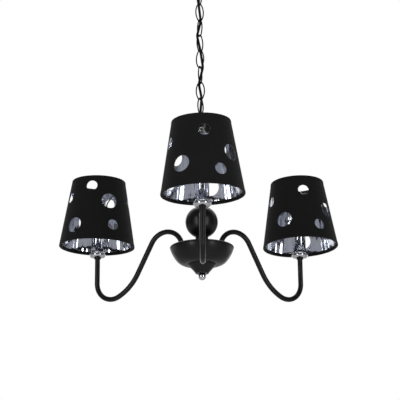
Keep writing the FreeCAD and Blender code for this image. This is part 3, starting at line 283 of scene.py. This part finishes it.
moulded = Finish("white_moulded")
grain = moulded.noise(1500, 2)
moulded.surface(
    Base_Color=moulded.blend_colours(moulded.noise(60), (0.74, 0.73, 0.70), (0.80, 0.79, 0.76)),
    Roughness=grain * 0.15 + 0.35,
)
moulded.relief(grain, depth=0.00004, strength=0.6)
print("made", sheath.material.name, "and", moulded.material.name)

# %% [markdown]
# ## Glass and nickel
# The bulbs are blown of clear glass, so thin that it does not bend what is seen through it. So the
# glass itself gets an index near 1, and a coat gives it the gloss; a slow ripple is left from the
# blowing. Their screw caps are nickel, a little yellower than chrome and duller.

# %% Glass and nickel
clear = Finish(
    "clear_glass", Transmission_Weight=1.0, IOR=1.01, Coat_Weight=0.6, Coat_Roughness=0.03)
blown = clear.noise(70, 2)
clear.surface(
    Base_Color=clear.blend_colours(blown, (0.97, 0.98, 0.98), (1.0, 1.0, 1.0)),
    Roughness=blown * 0.02,
)
clear.relief(blown, depth=0.0002, strength=0.2)

nickel = Finish("nickel_cap", Metallic=1.0)
worn = nickel.noise(500, 3)
nickel.surface(
    Base_Color=nickel.blend_colours(worn, (0.50, 0.48, 0.44), (0.68, 0.66, 0.62)),
    Roughness=worn * 0.2 + 0.18,
)
nickel.relief(worn, depth=0.00003, strength=0.5)
print("made", clear.material.name, "and", nickel.material.name)

# %% [markdown]
# ## Cloth
# A shade is one stiff sheet: fine black cloth outside, bright foil inside. The cloth is a plain
# weave of threads half a millimetre apart, so its relief is computed from the sheet's own flat
# map, which is in metres: warp threads show where row and column numbers add to an odd number,
# weft threads in the other cells. A slub is a thick stretch of thread, so that noise is long and
# narrow.

# %% Cloth
THREADS_PER_METRE = 2000
UNDER = 0.65  # how far a thread dips where it runs under another

cloth = Finish("black_cloth", Sheen_Weight=0.015, Sheen_Roughness=0.4, Specular_IOR_Level=0.2)
flat = cloth.node("UVMap", {"uv_map": "sheet"})
across = cloth.node("SeparateXYZ", sockets={0: flat}, output=0) * THREADS_PER_METRE
along = cloth.node("SeparateXYZ", sockets={0: flat}, output=1) * THREADS_PER_METRE


def threads(place):
    """Round threads side by side, one for each whole number of a place."""
    return cloth.math("ABSOLUTE", cloth.math("SINE", place * math.pi))


odd = cloth.math("PINGPONG", cloth.math("FLOOR", across) + cloth.math("FLOOR", along), 1.0)
warp = threads(across) * (1.0 - UNDER + odd * UNDER)
weft = threads(along) * (1.0 - odd * UNDER)
weave = cloth.math("MAXIMUM", warp, weft)
slub = cloth.noise(1.0, 3, stretch=(40, 600, 1), place=flat)
# The colour follows the weave: it is darker where the threads dip under each other, which is painted shade between
# the threads, and lighter on their crests. The slub's share is the thread's own uneven tone.
cloth.surface(
    Base_Color=cloth.blend_colours(
        weave * 0.5 + slub * 0.5, (0.0025, 0.0025, 0.003), (0.0085, 0.0085, 0.009)),
    Roughness=0.92 - weave * 0.14,
)
cloth.relief(weave + slub * 0.3, depth=0.00009, strength=0.8)
print("made", cloth.material.name, "with a thread every", 1000 / THREADS_PER_METRE, "mm")

# %% [markdown]
# ## Foil and cut edge
# The foil is a mirror that was rolled round a cone, so it has slow upright ripples that pull its
# reflections into streaks, and fine creases that dull it a little. Both are stretched on the flat
# map, with the height as their long way. Where a hole is cut, the edge shows the sheet's fibres.

# %% Foil and cut edge
foil = Finish("silver_foil", Metallic=1.0)
flat = foil.node("UVMap", {"uv_map": "sheet"})
ripple = foil.noise(1.0, 1, stretch=(60, 5, 1), place=flat)
crease = foil.noise(1.0, 2, stretch=(330, 40, 1), place=flat)
foil.surface(
    Base_Color=foil.blend_colours(ripple, (0.66, 0.68, 0.75), (0.80, 0.82, 0.87)),
    Roughness=crease * 0.08 + 0.02,
)
foil.relief(ripple + crease * 0.04, depth=0.0022, strength=0.8)

cut_edge = Finish("cut_edge")
fibre = cut_edge.noise(1200, 3)
cut_edge.surface(
    Base_Color=cut_edge.blend_colours(fibre, (0.02, 0.02, 0.022), (0.12, 0.12, 0.13)),
    Roughness=fibre * 0.3 + 0.5,
)
cut_edge.relief(fibre, depth=0.00008, strength=0.6)
print("made", foil.material.name, "and", cut_edge.material.name)

# %% [markdown]
# ## Bodies
# The lamp moves, so every piece has to ride on one of its rigid bodies, and the record says which body each solid
# belongs to.

# %% Bodies
body_of = {
    node: body
    for body, nodes in frame["record"]["behaviour"]["bodies"].items()
    for node in nodes
}

# %% [markdown]
# ## Handling a piece
# An operator acts on all that is selected, so a piece is picked alone before one is used. What
# repeats is modelled once and copied, and each copy has its own mesh, because its place is kept in
# the mesh and not in the object. A finished piece then rides on a body and replaces its solids.

# %% Handling


def pick(*pieces):
    """Selects these pieces alone and makes the first one active."""
    bpy.ops.object.select_all(action="DESELECT")
    for piece in pieces:
        piece.select_set(True)
    bpy.context.view_layer.objects.active = pieces[0]


def twin(source, name):
    """A copy of a piece, with its own mesh."""
    piece = bpy.data.objects.new(name, source.data.copy())
    bpy.context.scene.collection.objects.link(piece)
    return piece


def smooth(degrees):
    """Smooths the picked piece's shading, except over edges that turn by more than this."""
    bpy.ops.object.shade_smooth_by_angle(angle=math.radians(degrees))


def wear(piece, *finishes):
    """Gives a piece its finishes, the first one on every face that has no other."""
    piece.data.materials.clear()
    for finish in finishes:
        piece.data.materials.append(finish.material)


def settle(piece, finish, body, *nodes):
    """Puts a finished piece on its body and hides the solids that it stands for; the finish is not used."""
    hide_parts(*nodes)
    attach(piece, body)


print("handling ready")

# %% [markdown]
# ## Dressing a CAD solid
# A CAD solid arrives as loose triangles, flat and hard, and it must not be changed. So a piece
# that has the right form is copied, the copy's points are merged, and its shading is smoothed
# everywhere but at true corners. The copy then stands for the solid and rides on the same body.

# %% Dressing
MERGE = 0.000002  # points nearer than this are one


def dress(node, finish, thicker=0.0):
    """A copy of a CAD solid in its finish; thicker is a coat in metres on every face."""
    piece = twin(frame["nodes"][node], f"{node}_dressed")
    pick(piece)
    bpy.ops.object.mode_set(mode="EDIT")
    bpy.ops.mesh.select_all(action="SELECT")
    bpy.ops.mesh.remove_doubles(threshold=MERGE)
    if thicker:
        bpy.ops.transform.shrink_fatten(value=thicker)
    bpy.ops.object.mode_set(mode="OBJECT")
    if piece.data.has_custom_normals:
        bpy.ops.mesh.customdata_custom_splitnormals_clear()
    smooth(32)
    wear(piece, finish)
    return piece


def dress_all(nodes, finish, thicker=0.0):
    """Dresses solids in one finish and settles each on its own body."""
    for node in nodes:
        settle(dress(node, finish, thicker), finish, body_of[node], node)
    print("dressed", len(nodes), "with", finish.material.name)


print("dressing ready")

# %% [markdown]
# ## Black metalwork
# The turned and bent metal has its right form in the CAD model already, with every rolled rim and
# bend, so it is dressed and not modelled twice. Only the links get a coat that is thick enough to
# see, as on a real painted chain, and it stays within their play.

# %% Black metalwork
LINKS = 7
LINK_COAT = 0.00014


def each_side(*names):
    """The nodes that stand once on every side."""
    return [f"{name}_{side}" for name in names for side in SIDES]


dress_all(["canopy", "canopy_loop", "top_loop", "loop_collar", "upper_ball", "column_tube",
           "lower_ball", "ball_collar", "dish", "dish_lid", "lower_cap", "cup_nuts"], enamel)
dress_all(each_side("arm"), enamel)
dress_all([f"chain_link_{number}" for number in range(1, LINKS + 1)], chain_black, LINK_COAT)

# %% [markdown]
# ## Bright metalwork
# Chrome is only where it is seen: cups, candle sleeves and the finial ball. The fittings that the
# canopy and the dish hide are zinc, and the sprung clips and frames in the shades are wire.

# %% Bright metalwork
dress_all(each_side("drip_cup", "candle_sleeve") + ["finial"], chrome)
dress_all(["ceiling_bracket", "canopy_nuts", "canopy_nipple", "centre_rod", "plate_nuts",
           "dish_strap"], zinc)
dress_all(each_side("bulb_clip", "shade_frame"), spring_wire)

# %% [markdown]
# ## Electrical pieces
# Blocks, connectors and lampholders are white mouldings. The leads run inside the arms in the same
# black sheath as the cable.

# %% Electrical pieces
dress_all(["terminal_block", "wire_connectors", "lampholders"], moulded)
dress_all(["lamp_leads"], sheath)

# %% [markdown]
# ## The supply cable
# The cable is threaded through the links from side to side, and the chain holds it all the way.
# It bends where the chain bends. So it comes in eight lengths, and each of them crosses one joint.

# %% Cable
CABLE_COAT = 0.0001

for number in range(1, LINKS + 2):  # over, between and under the links
    piece = dress(f"cable_{number}", sheath, CABLE_COAT)
    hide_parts(f"cable_{number}")
    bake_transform(piece)
print("cable in", LINKS + 1, "lengths")

# %% [markdown]
# ## The form of a shade
# A shade is a cone of stiff sheet. One is modelled upright, with its tipping axis at height zero,
# and everything on it is placed by a height over the bottom edge. So one function gives the radius
# of the cloth there.

# %% Shade sizes
SHADE_HEIGHT = 0.134
BOTTOM_RADIUS, TOP_RADIUS = 0.075, 0.053
MEAN_RADIUS = (BOTTOM_RADIUS + TOP_RADIUS) / 2
BELOW_AXIS = 0.0737  # from the bottom edge up to the tipping axis
taper = math.atan2(BOTTOM_RADIUS - TOP_RADIUS, SHADE_HEIGHT)


def cone_radius(height):
    """Radius of the cloth at a height over the bottom edge."""
    return BOTTOM_RADIUS - (BOTTOM_RADIUS - TOP_RADIUS) * height / SHADE_HEIGHT


print("wall slope", round(math.degrees(taper), 2), "degrees")

# %% [markdown]
# ## The shade's wall
# The wall could be an outline turned round the axis, but a cone primitive without ends is just
# that. Its upright edges are cut into rows, and Solidify gives the sheet its thickness inwards.
# The seam, where the sheet overlaps itself by about eight millimetres, is a slightly raised strip.

# %% Shade wall
WALL = 0.0012
AROUND, ROWS = 192, 12
SEAM_HEADING, SEAM_REACH = 37.5, 3.2  # degrees, to the middle and from there to either side
SEAM_RISE = 0.0004


def cut_rows(wall):
    """Cuts the wall into rows and raises the seam."""
    bpy.ops.object.mode_set(mode="EDIT")
    mesh = bmesh.from_edit_mesh(wall.data)
    bpy.ops.mesh.select_all(action="DESELECT")
    bpy.ops.mesh.select_mode(type="EDGE")
    for edge in mesh.edges:
        start, end = edge.verts
        edge.select = abs(start.co.z - end.co.z) > SHADE_HEIGHT / 2
    bpy.ops.mesh.subdivide(number_cuts=ROWS - 1)
    for vertex in mesh.verts:
        heading = math.degrees(math.atan2(vertex.co.y, vertex.co.x))
        if abs(heading - SEAM_HEADING) < SEAM_REACH:
            vertex.co.xy *= 1 + SEAM_RISE / vertex.co.xy.length
    bmesh.update_edit_mesh(wall.data)
    bpy.ops.object.mode_set(mode="OBJECT")


bpy.ops.object.select_all(action="DESELECT")
bpy.ops.mesh.primitive_cone_add(
    vertices=AROUND, radius1=BOTTOM_RADIUS, radius2=TOP_RADIUS, depth=SHADE_HEIGHT,
    end_fill_type="NOTHING", location=(0, 0, SHADE_HEIGHT / 2 - BELOW_AXIS))
first_wall = bpy.context.object
first_wall.name = "shade_front_sheet"
bpy.ops.object.transform_apply(location=True, rotation=True, scale=True)
cut_rows(first_wall)
thickness = first_wall.modifiers.new("thickness", "SOLIDIFY")
thickness.thickness = WALL
thickness.offset = -1
thickness.use_even_offset = True
pick(first_wall)
bpy.ops.object.modifier_apply(modifier="thickness")
print("wall faces", len(first_wall.data.polygons))

# %% [markdown]
# ## Many small cylinders
# The punches for the holes and the wires in the bulbs are cylinders that lie in all directions. A
# new cylinder stands upright, so its Z axis is turned to its direction, and the turn is worked out
# by to_track_quat. Cylinders that belong together are joined into one piece.

# %% Cylinder and join


def cylinder(middle, along, length, radius, points):
    """A cylinder whose axis points along a direction."""
    bpy.ops.object.select_all(action="DESELECT")
    bpy.ops.mesh.primitive_cylinder_add(
        vertices=points, radius=radius, depth=length, location=middle,
        rotation=along.to_track_quat("Z", "Y").to_euler())
    return bpy.context.object


def join(*pieces):
    """Joins pieces into the first one."""
    pick(*pieces)
    bpy.ops.object.join()
    return pieces[0]


print("cylinders ready")

# %% [markdown]
# ## Holes
# Round holes of two sizes are stamped right through, scattered and not in rows. They could be cut
# one after the other, but each Boolean would have to search the whole wall again. So the punches,
# which stand square on the wall, are joined first, and one Boolean does the work.

# %% Stamp the holes
SMALL_HOLE, BIG_HOLE = 0.0108, 0.0155
PUNCH_LENGTH, PUNCH_POINTS = 0.016, 72
# heading in degrees, height as a share of the shade's, radius
HOLES = (
    (-82.0, 0.761, SMALL_HOLE), (-119.5, 0.306, BIG_HOLE), (-59.7, 0.216, SMALL_HOLE),
    (-35.0, 0.478, BIG_HOLE), (-156.0, 0.660, SMALL_HOLE), (108.0, 0.836, SMALL_HOLE),
    (143.0, 0.605, BIG_HOLE), (81.0, 0.235, BIG_HOLE), (148.0, 0.235, SMALL_HOLE),
    (55.0, 0.700, SMALL_HOLE), (14.0, 0.730, SMALL_HOLE), (17.0, 0.340, BIG_HOLE),
)

punches = []
for heading, share, radius in HOLES:
    turn = math.radians(heading)
    height = SHADE_HEIGHT * share
    square = Vector((math.cos(turn) * math.cos(taper),
                     math.sin(turn) * math.cos(taper),
                     math.sin(taper)))
    spot = Vector((math.cos(turn), math.sin(turn), 0)) * cone_radius(height)
    spot.z = height - BELOW_AXIS
    punches.append(cylinder(spot, square, PUNCH_LENGTH, radius, PUNCH_POINTS))
punch = join(*punches)
cut = first_wall.modifiers.new("holes", "BOOLEAN")
cut.operation = "DIFFERENCE"
cut.solver = "EXACT"
cut.object = punch
pick(first_wall)
bpy.ops.object.modifier_apply(modifier="holes")
bpy.data.objects.remove(punch)
print("holes", len(HOLES), "and wall faces", len(first_wall.data.polygons))

# %% [markdown]
# ## A flat map for the sheet
# Cloth is woven flat and rolled up, so its threads follow the sheet. The map gives every corner
# its arc length round the cone and its height, both in metres. A face that crosses the back of
# the cone is measured from its own middle, so that it never spans the whole map.

# %% Flat map


def map_sheet(piece):
    """Gives every corner its place on the sheet before it was rolled."""
    mesh = piece.data
    layer = mesh.uv_layers.get("sheet") or mesh.uv_layers.new(name="sheet")
    for face in mesh.polygons:
        centre = math.atan2(face.center.y, face.center.x)
        for corner in face.loop_indices:
            point = mesh.vertices[mesh.loops[corner].vertex_index].co
            turn = math.atan2(point.y, point.x)
            turn = centre + (turn - centre + math.pi) % math.tau - math.pi
            layer.data[corner].uv = (turn * MEAN_RADIUS, point.z + BELOW_AXIS)


map_sheet(first_wall)
print("mapped", len(first_wall.data.loops), "corners")

# %% [markdown]
# ## Cloth outside, foil inside
# After the Boolean no face remembers which side it is on, but its normal tells: outwards is cloth,
# inwards is foil, and a face that looks neither way is in a rim or in a hole, where the sheet was
# cut.

# %% Sides of the sheet
SQUARE_ON = 0.75  # the least share of a wall face's normal that points straight out or in

wear(first_wall, cloth, foil, cut_edge)
for face in first_wall.data.polygons:
    away = Vector((face.center.x, face.center.y, 0)).normalized()
    facing = face.normal.dot(away)
    if facing > SQUARE_ON:
        face.material_index = 0
    elif facing < -SQUARE_ON:
        face.material_index = 1
    else:
        face.material_index = 2
indices = [face.material_index for face in first_wall.data.polygons]
print("cloth, foil and edge faces", [indices.count(index) for index in range(3)])

# %% [markdown]
# ## Hems
# At both rims the cloth is rolled in over a wire ring and glued to the foil, so from below a black
# band hides the wire. The band is drawn as an outline and spun round the axis, which is how a
# turned form is made: one outline, one operator, and no seam once the last row is merged.

# %% Spin helper


def spin_outline(name, points):
    """A closed outline of (radius, height) points, spun round the Z axis."""
    bpy.ops.object.select_all(action="DESELECT")
    bpy.ops.mesh.primitive_circle_add(vertices=len(points))
    piece = bpy.context.object
    piece.name = name
    for vertex, (radius, height) in zip(piece.data.vertices, points):
        vertex.co = (radius, 0, height)
    bpy.ops.object.mode_set(mode="EDIT")
    bpy.ops.mesh.select_all(action="SELECT")
    bpy.ops.mesh.spin(
        steps=AROUND, angle=math.tau, center=(0, 0, 0), axis=(0, 0, 1), use_auto_merge=True)
    bpy.ops.mesh.select_all(action="SELECT")
    bpy.ops.mesh.remove_doubles(threshold=MERGE)
    bpy.ops.mesh.normals_make_consistent(inside=False)
    bpy.ops.object.mode_set(mode="OBJECT")
    smooth(50)
    return piece


print("spin in", AROUND, "steps")

# %% [markdown]
# ## One outline, two hems
# The bottom hem is about six millimetres high. The top one is the same outline upside down and
# lower, so one factor does both: it scales the height, and turns it over when it is negative.

# %% Hems
BOTTOM_HEM, TOP_HEM = 1, -0.7
# (out from the cloth, up from the rim): up the outside, then round under the rim and up inside
HEM_OUTLINE = (
    (0.00005, 0.0052), (0.0003, 0.0046), (0.00032, 0.0012), (0.0001, 0.00015),
    (-0.0006, -0.00025), (-0.002, -0.00025), (-0.0034, 0.00015), (-0.0041, 0.0011),
    (-0.0043, 0.0024), (-0.0041, 0.0036), (-0.0032, 0.0047), (-0.0019, 0.0054),
    (-0.00155, 0.0062), (-0.0008, 0.0062), (-0.0006, 0.0052),
)


def hem(name, rim, scale):
    """The rolled band at a rim, which is given by its height over the bottom edge."""
    outline = []
    for out, up in HEM_OUTLINE:
        height = rim + scale * up
        outline.append((cone_radius(height) + out, height - BELOW_AXIS))
    band = spin_outline(name, outline)
    map_sheet(band)
    wear(band, cloth)
    return band


bottom_hem = hem("shade_front_hem", 0.0, BOTTOM_HEM)
top_hem = hem("shade_front_top_hem", SHADE_HEIGHT, TOP_HEM)
print("hem faces", len(bottom_hem.data.polygons), len(top_hem.data.polygons))

# %% [markdown]
# ## Three shades from one
# The first shade is finished, so the others are copies with their own meshes. Each stands on its
# own pivot, leans a little as clip-on shades do, and has its pattern of holes turned its own way.
# The first one becomes the front shade, and is moved last, because the copies are taken from it.

# %% Place the shades
# how far each shade leans, about which heading, and how far its pattern is turned, in degrees
LEANS = {"left": (1.86, 45.1, 152.0), "right": (2.09, -136.6, -0.5), "front": (1.80, -27.7, -3.5)}


def stand(piece, side):
    """Puts a piece of the upright shade on its own pivot."""
    lean, heading, pattern = (math.radians(angle) for angle in LEANS[side])
    axis = Vector((math.cos(heading), math.sin(heading), 0))
    turn = Matrix.Rotation(lean, 4, axis) @ Matrix.Rotation(pattern, 4, "Z")
    piece.data.transform(Matrix.Translation(pivots[side]) @ turn)


pick(first_wall)
smooth(30)
for side in LEANS:
    for part, model in {"sheet": first_wall, "hem": bottom_hem, "top_hem": top_hem}.items():
        piece = model if side == "front" else twin(model, f"shade_{side}_{part}")
        stand(piece, side)
        settle(piece, cloth, f"shade_body_{side}", f"shade_{side}")
    print(f"shade {side} stands at", [round(value, 3) for value in pivots[side]])

# %% [markdown]
# ## Rods and wires
# A clear bulb shows what stands in it: a glass foot with two lead wires, and the filament between
# them on thin supports. Most of it is thin wire in straight runs, so one helper draws a rod
# between two points, and another bends a wire from several rods.

# %% Rods and wires


def rod(start, end, radius, finish, points=10):
    """A straight rod between two places, round with that many points."""
    start, end = Vector(start), Vector(end)
    along = end - start
    piece = cylinder((start + end) / 2, along, along.length, radius, points)
    bpy.ops.object.transform_apply(location=True, rotation=True, scale=True)
    smooth(40)
    wear(piece, finish)
    return piece


def wire(points, radius, finish):
    """The rods of a bent wire, one for each straight run."""
    return [rod(start, end, radius, finish) for start, end in zip(points, points[1:])]


tungsten = Finish("tungsten", Metallic=1.0)
burnt = tungsten.noise(3000)
tungsten.surface(
    Base_Color=tungsten.blend_colours(burnt, (0.25, 0.24, 0.23), (0.42, 0.41, 0.40)),
    Roughness=tungsten.noise(900) * 0.2 + 0.3,
)
print("made", tungsten.material.name)

# %% [markdown]
# ## Inside a bulb
# Heights are counted from the bulb's widest place. Both lead wires have the same shape, one left
# and one right, and the filament is a zigzag with two alike halves, so only one half of each is
# written down. The supports carry the zigzag's upper bends.

# %% Filament
FOOT_RADII, FOOT_HEIGHT, FOOT_MIDDLE = (0.0068, 0.0022), 0.016, -0.0135
STEM_BOTTOM, STEM_TOP = -0.006, 0.008
STEM_RADIUS, LEAD_RADIUS, FILAMENT_RADIUS, SUPPORT_RADIUS = 0.0011, 0.00022, 0.00028, 0.00012
FILAMENT_END = (0.0075, 0, 0.016)
LEAD_WIRE = ((0.0018, 0, -0.018), (0.0045, 0, 0.001), FILAMENT_END)
HALF_FILAMENT = (FILAMENT_END, (0.0042, 0.0012, 0.025), (0.0018, 0.0024, 0.013))
FILAMENT_MIDDLE = (0, 0.0026, 0.0255)


def mirrored(points):
    """The same points on the other side of the bulb's axis."""
    return [(-x, y, z) for x, y, z in points]


bpy.ops.object.select_all(action="DESELECT")
bpy.ops.mesh.primitive_cone_add(
    vertices=32, radius1=FOOT_RADII[0], radius2=FOOT_RADII[1], depth=FOOT_HEIGHT,
    location=(0, 0, FOOT_MIDDLE))
foot = bpy.context.object
bpy.ops.object.transform_apply(location=True, rotation=True, scale=True)
smooth(40)
wear(foot, clear)
stem = rod((0, 0, STEM_BOTTOM), (0, 0, STEM_TOP), STEM_RADIUS, clear, points=16)
leads = wire(LEAD_WIRE, LEAD_RADIUS, tungsten) + wire(mirrored(LEAD_WIRE), LEAD_RADIUS, tungsten)
zigzag = [*HALF_FILAMENT, FILAMENT_MIDDLE, *reversed(mirrored(HALF_FILAMENT))]
filament = wire(zigzag, FILAMENT_RADIUS, tungsten)
upper_bends = zigzag[1::2]
supports = [rod((0, 0, STEM_TOP), bend, SUPPORT_RADIUS, tungsten, 6) for bend in upper_bends]
inside = join(foot, stem, *leads, *filament, *supports)
print("faces inside a bulb", len(inside.data.polygons))

# %% [markdown]
# ## Bulbs
# The glass and its screw cap are one CAD solid, so one dressed copy is split by height into glass
# and nickel faces. The cap is left plain, because the lampholder hides it. What stands inside is
# joined to the bulb, and turned so that the zigzag is seen a little from the side.

# %% Bulbs
GLASS_END = -0.0226  # where the glass ends, from the bulb's widest place
FILAMENT_TURN = math.radians(35)

for side in SIDES:
    bulb = dress(f"bulb_{side}", clear)
    wear(bulb, clear, nickel)
    for face in bulb.data.polygons:
        face.material_index = int(face.center.z < pivots[side].z + GLASS_END)
    inner = twin(inside, "inner")
    inner.data.transform(
        Matrix.Translation(pivots[side]) @ Matrix.Rotation(FILAMENT_TURN, 4, "Z"))
    settle(join(bulb, inner), clear, body_of[f"bulb_{side}"], f"bulb_{side}")
bpy.data.objects.remove(inside)
print("bulbs", len(SIDES), "faces each", len(bulb.data.polygons))

# %% [markdown]
# ## The floor
# A product like this is photographed over white paper. The camera and the glass see the paper
# glow, and polished metal sees a little of it, but it glows for them alone: light from it would
# turn the black cloth grey.

# %% Floor
FLOOR_HEIGHT, FLOOR_SIZE = -2.4, 16
GLOW_IN_METAL = 0.2  # as a share of what the camera sees

bpy.ops.object.select_all(action="DESELECT")
bpy.ops.mesh.primitive_plane_add(size=FLOOR_SIZE, location=(0, 0, FLOOR_HEIGHT))
floor = bpy.context.object
floor.name = "floor"
paper = Finish("white_paper", Roughness=0.9, Emission_Strength=0.5)
fibres = paper.noise(30, 3)
seen = paper.math(
    "MAXIMUM", paper.node("LightPath", output="Is Camera Ray"),
    paper.node("LightPath", output="Is Glossy Ray") * GLOW_IN_METAL)
seen = paper.math("MAXIMUM", seen, paper.node("LightPath", output="Is Transmission Ray"))
paper.surface(
    Base_Color=paper.blend_colours(fibres, (0.86, 0.86, 0.86), (0.90, 0.90, 0.90)),
    Emission_Color=paper.blend_colours(seen, (0.0, 0.0, 0.0), (1.0, 1.0, 1.0)),
)
wear(floor, paper)
print("floor", -FLOOR_HEIGHT, "m under the ceiling")

# %% [markdown]
# ## Softboxes
# Two tall softboxes stand in front, left and right: a ball shows them as two soft spots, and a
# chrome tube as two white bands with a dark slit between them, where it mirrors the dark side of
# the studio. A weak third one, behind and above, puts a soft line on all that faces up.

# %% Softboxes


def softbox(name, heading, distance, height, size, power):
    """A lit rectangle, its size (width, height), that stands at a heading and faces the shades."""
    light = bpy.data.lights.new(name, "AREA")
    light.shape = "RECTANGLE"
    light.size, light.size_y = size
    light.energy = power
    lamp = bpy.data.objects.new(name, light)
    bpy.context.scene.collection.objects.link(lamp)
    aim = Vector((0, 0, pivots["front"].z))
    turn = math.radians(heading)
    lamp.location = aim + Vector((math.cos(turn) * distance, math.sin(turn) * distance, height))
    lamp.rotation_euler = (aim - lamp.location).to_track_quat("-Z", "Y").to_euler()
    print(name, "of", power, "W")


for name, heading in (("left_softbox", -128), ("right_softbox", -52)):
    softbox(name, heading, distance=2.4, height=-0.1, size=(0.32, 2.2), power=20)
softbox("top_softbox", 90, distance=1.6, height=1.9, size=(1.6, 1.2), power=10)

# %% [markdown]
# ## The room
# The world is the room round the lamp, and a ray can ask for it in three ways. What the camera
# sees, also through glass, is pure white. What a mirror sees is the room as a photographer builds
# it: paper behind the lamp, which gives every rim its pale line, a faint floor, and darkness in
# front. What falls on the lamp as light comes evenly from all round and is weak, so that the
# softboxes shape the lamp and the cloth stays black.

# %% Room
PAPER_LEVEL, FLOOR_LEVEL, DARK_LEVEL = 0.9, 0.16, 0.08  # what a mirror sees
FILL_LEVEL = 0.35  # what falls on the lamp

world = bpy.data.worlds.new("studio")
bpy.context.scene.world = world
room = Shading(world, "Background")
direction = room.node("TexCoord", output="Generated")
forward = room.node("SeparateXYZ", sockets={0: direction}, output=1)
upward = room.node("SeparateXYZ", sockets={0: direction}, output=2)


def fade_in(place, start, steepness):
    """0 up to a start, and from there rising to 1."""
    return room.node("Clamp", sockets={"Value": (place - start) * steepness})


behind = fade_in(forward, 0.1, 2.4)
high = fade_in(upward, -0.28, 5.0)
low = fade_in(0.0 - upward, 0.0, 3.0)
mirrored_room = behind * high * PAPER_LEVEL + low * FLOOR_LEVEL + DARK_LEVEL
camera_ray = room.node("LightPath", output="Is Camera Ray")
glossy_ray = room.node("LightPath", output="Is Glossy Ray")
glass_ray = room.node("LightPath", output="Is Transmission Ray")
plain = room.math("MAXIMUM", camera_ray, glass_ray)
indirect = 1.0 - plain
in_mirrors = glossy_ray * indirect * mirrored_room
as_light = indirect * (1.0 - glossy_ray) * FILL_LEVEL
level = plain + in_mirrors + as_light
room.surface(Color=(1.0, 1.0, 1.0, 1), Strength=level)
print("room levels", PAPER_LEVEL, FLOOR_LEVEL, DARK_LEVEL, FILL_LEVEL)
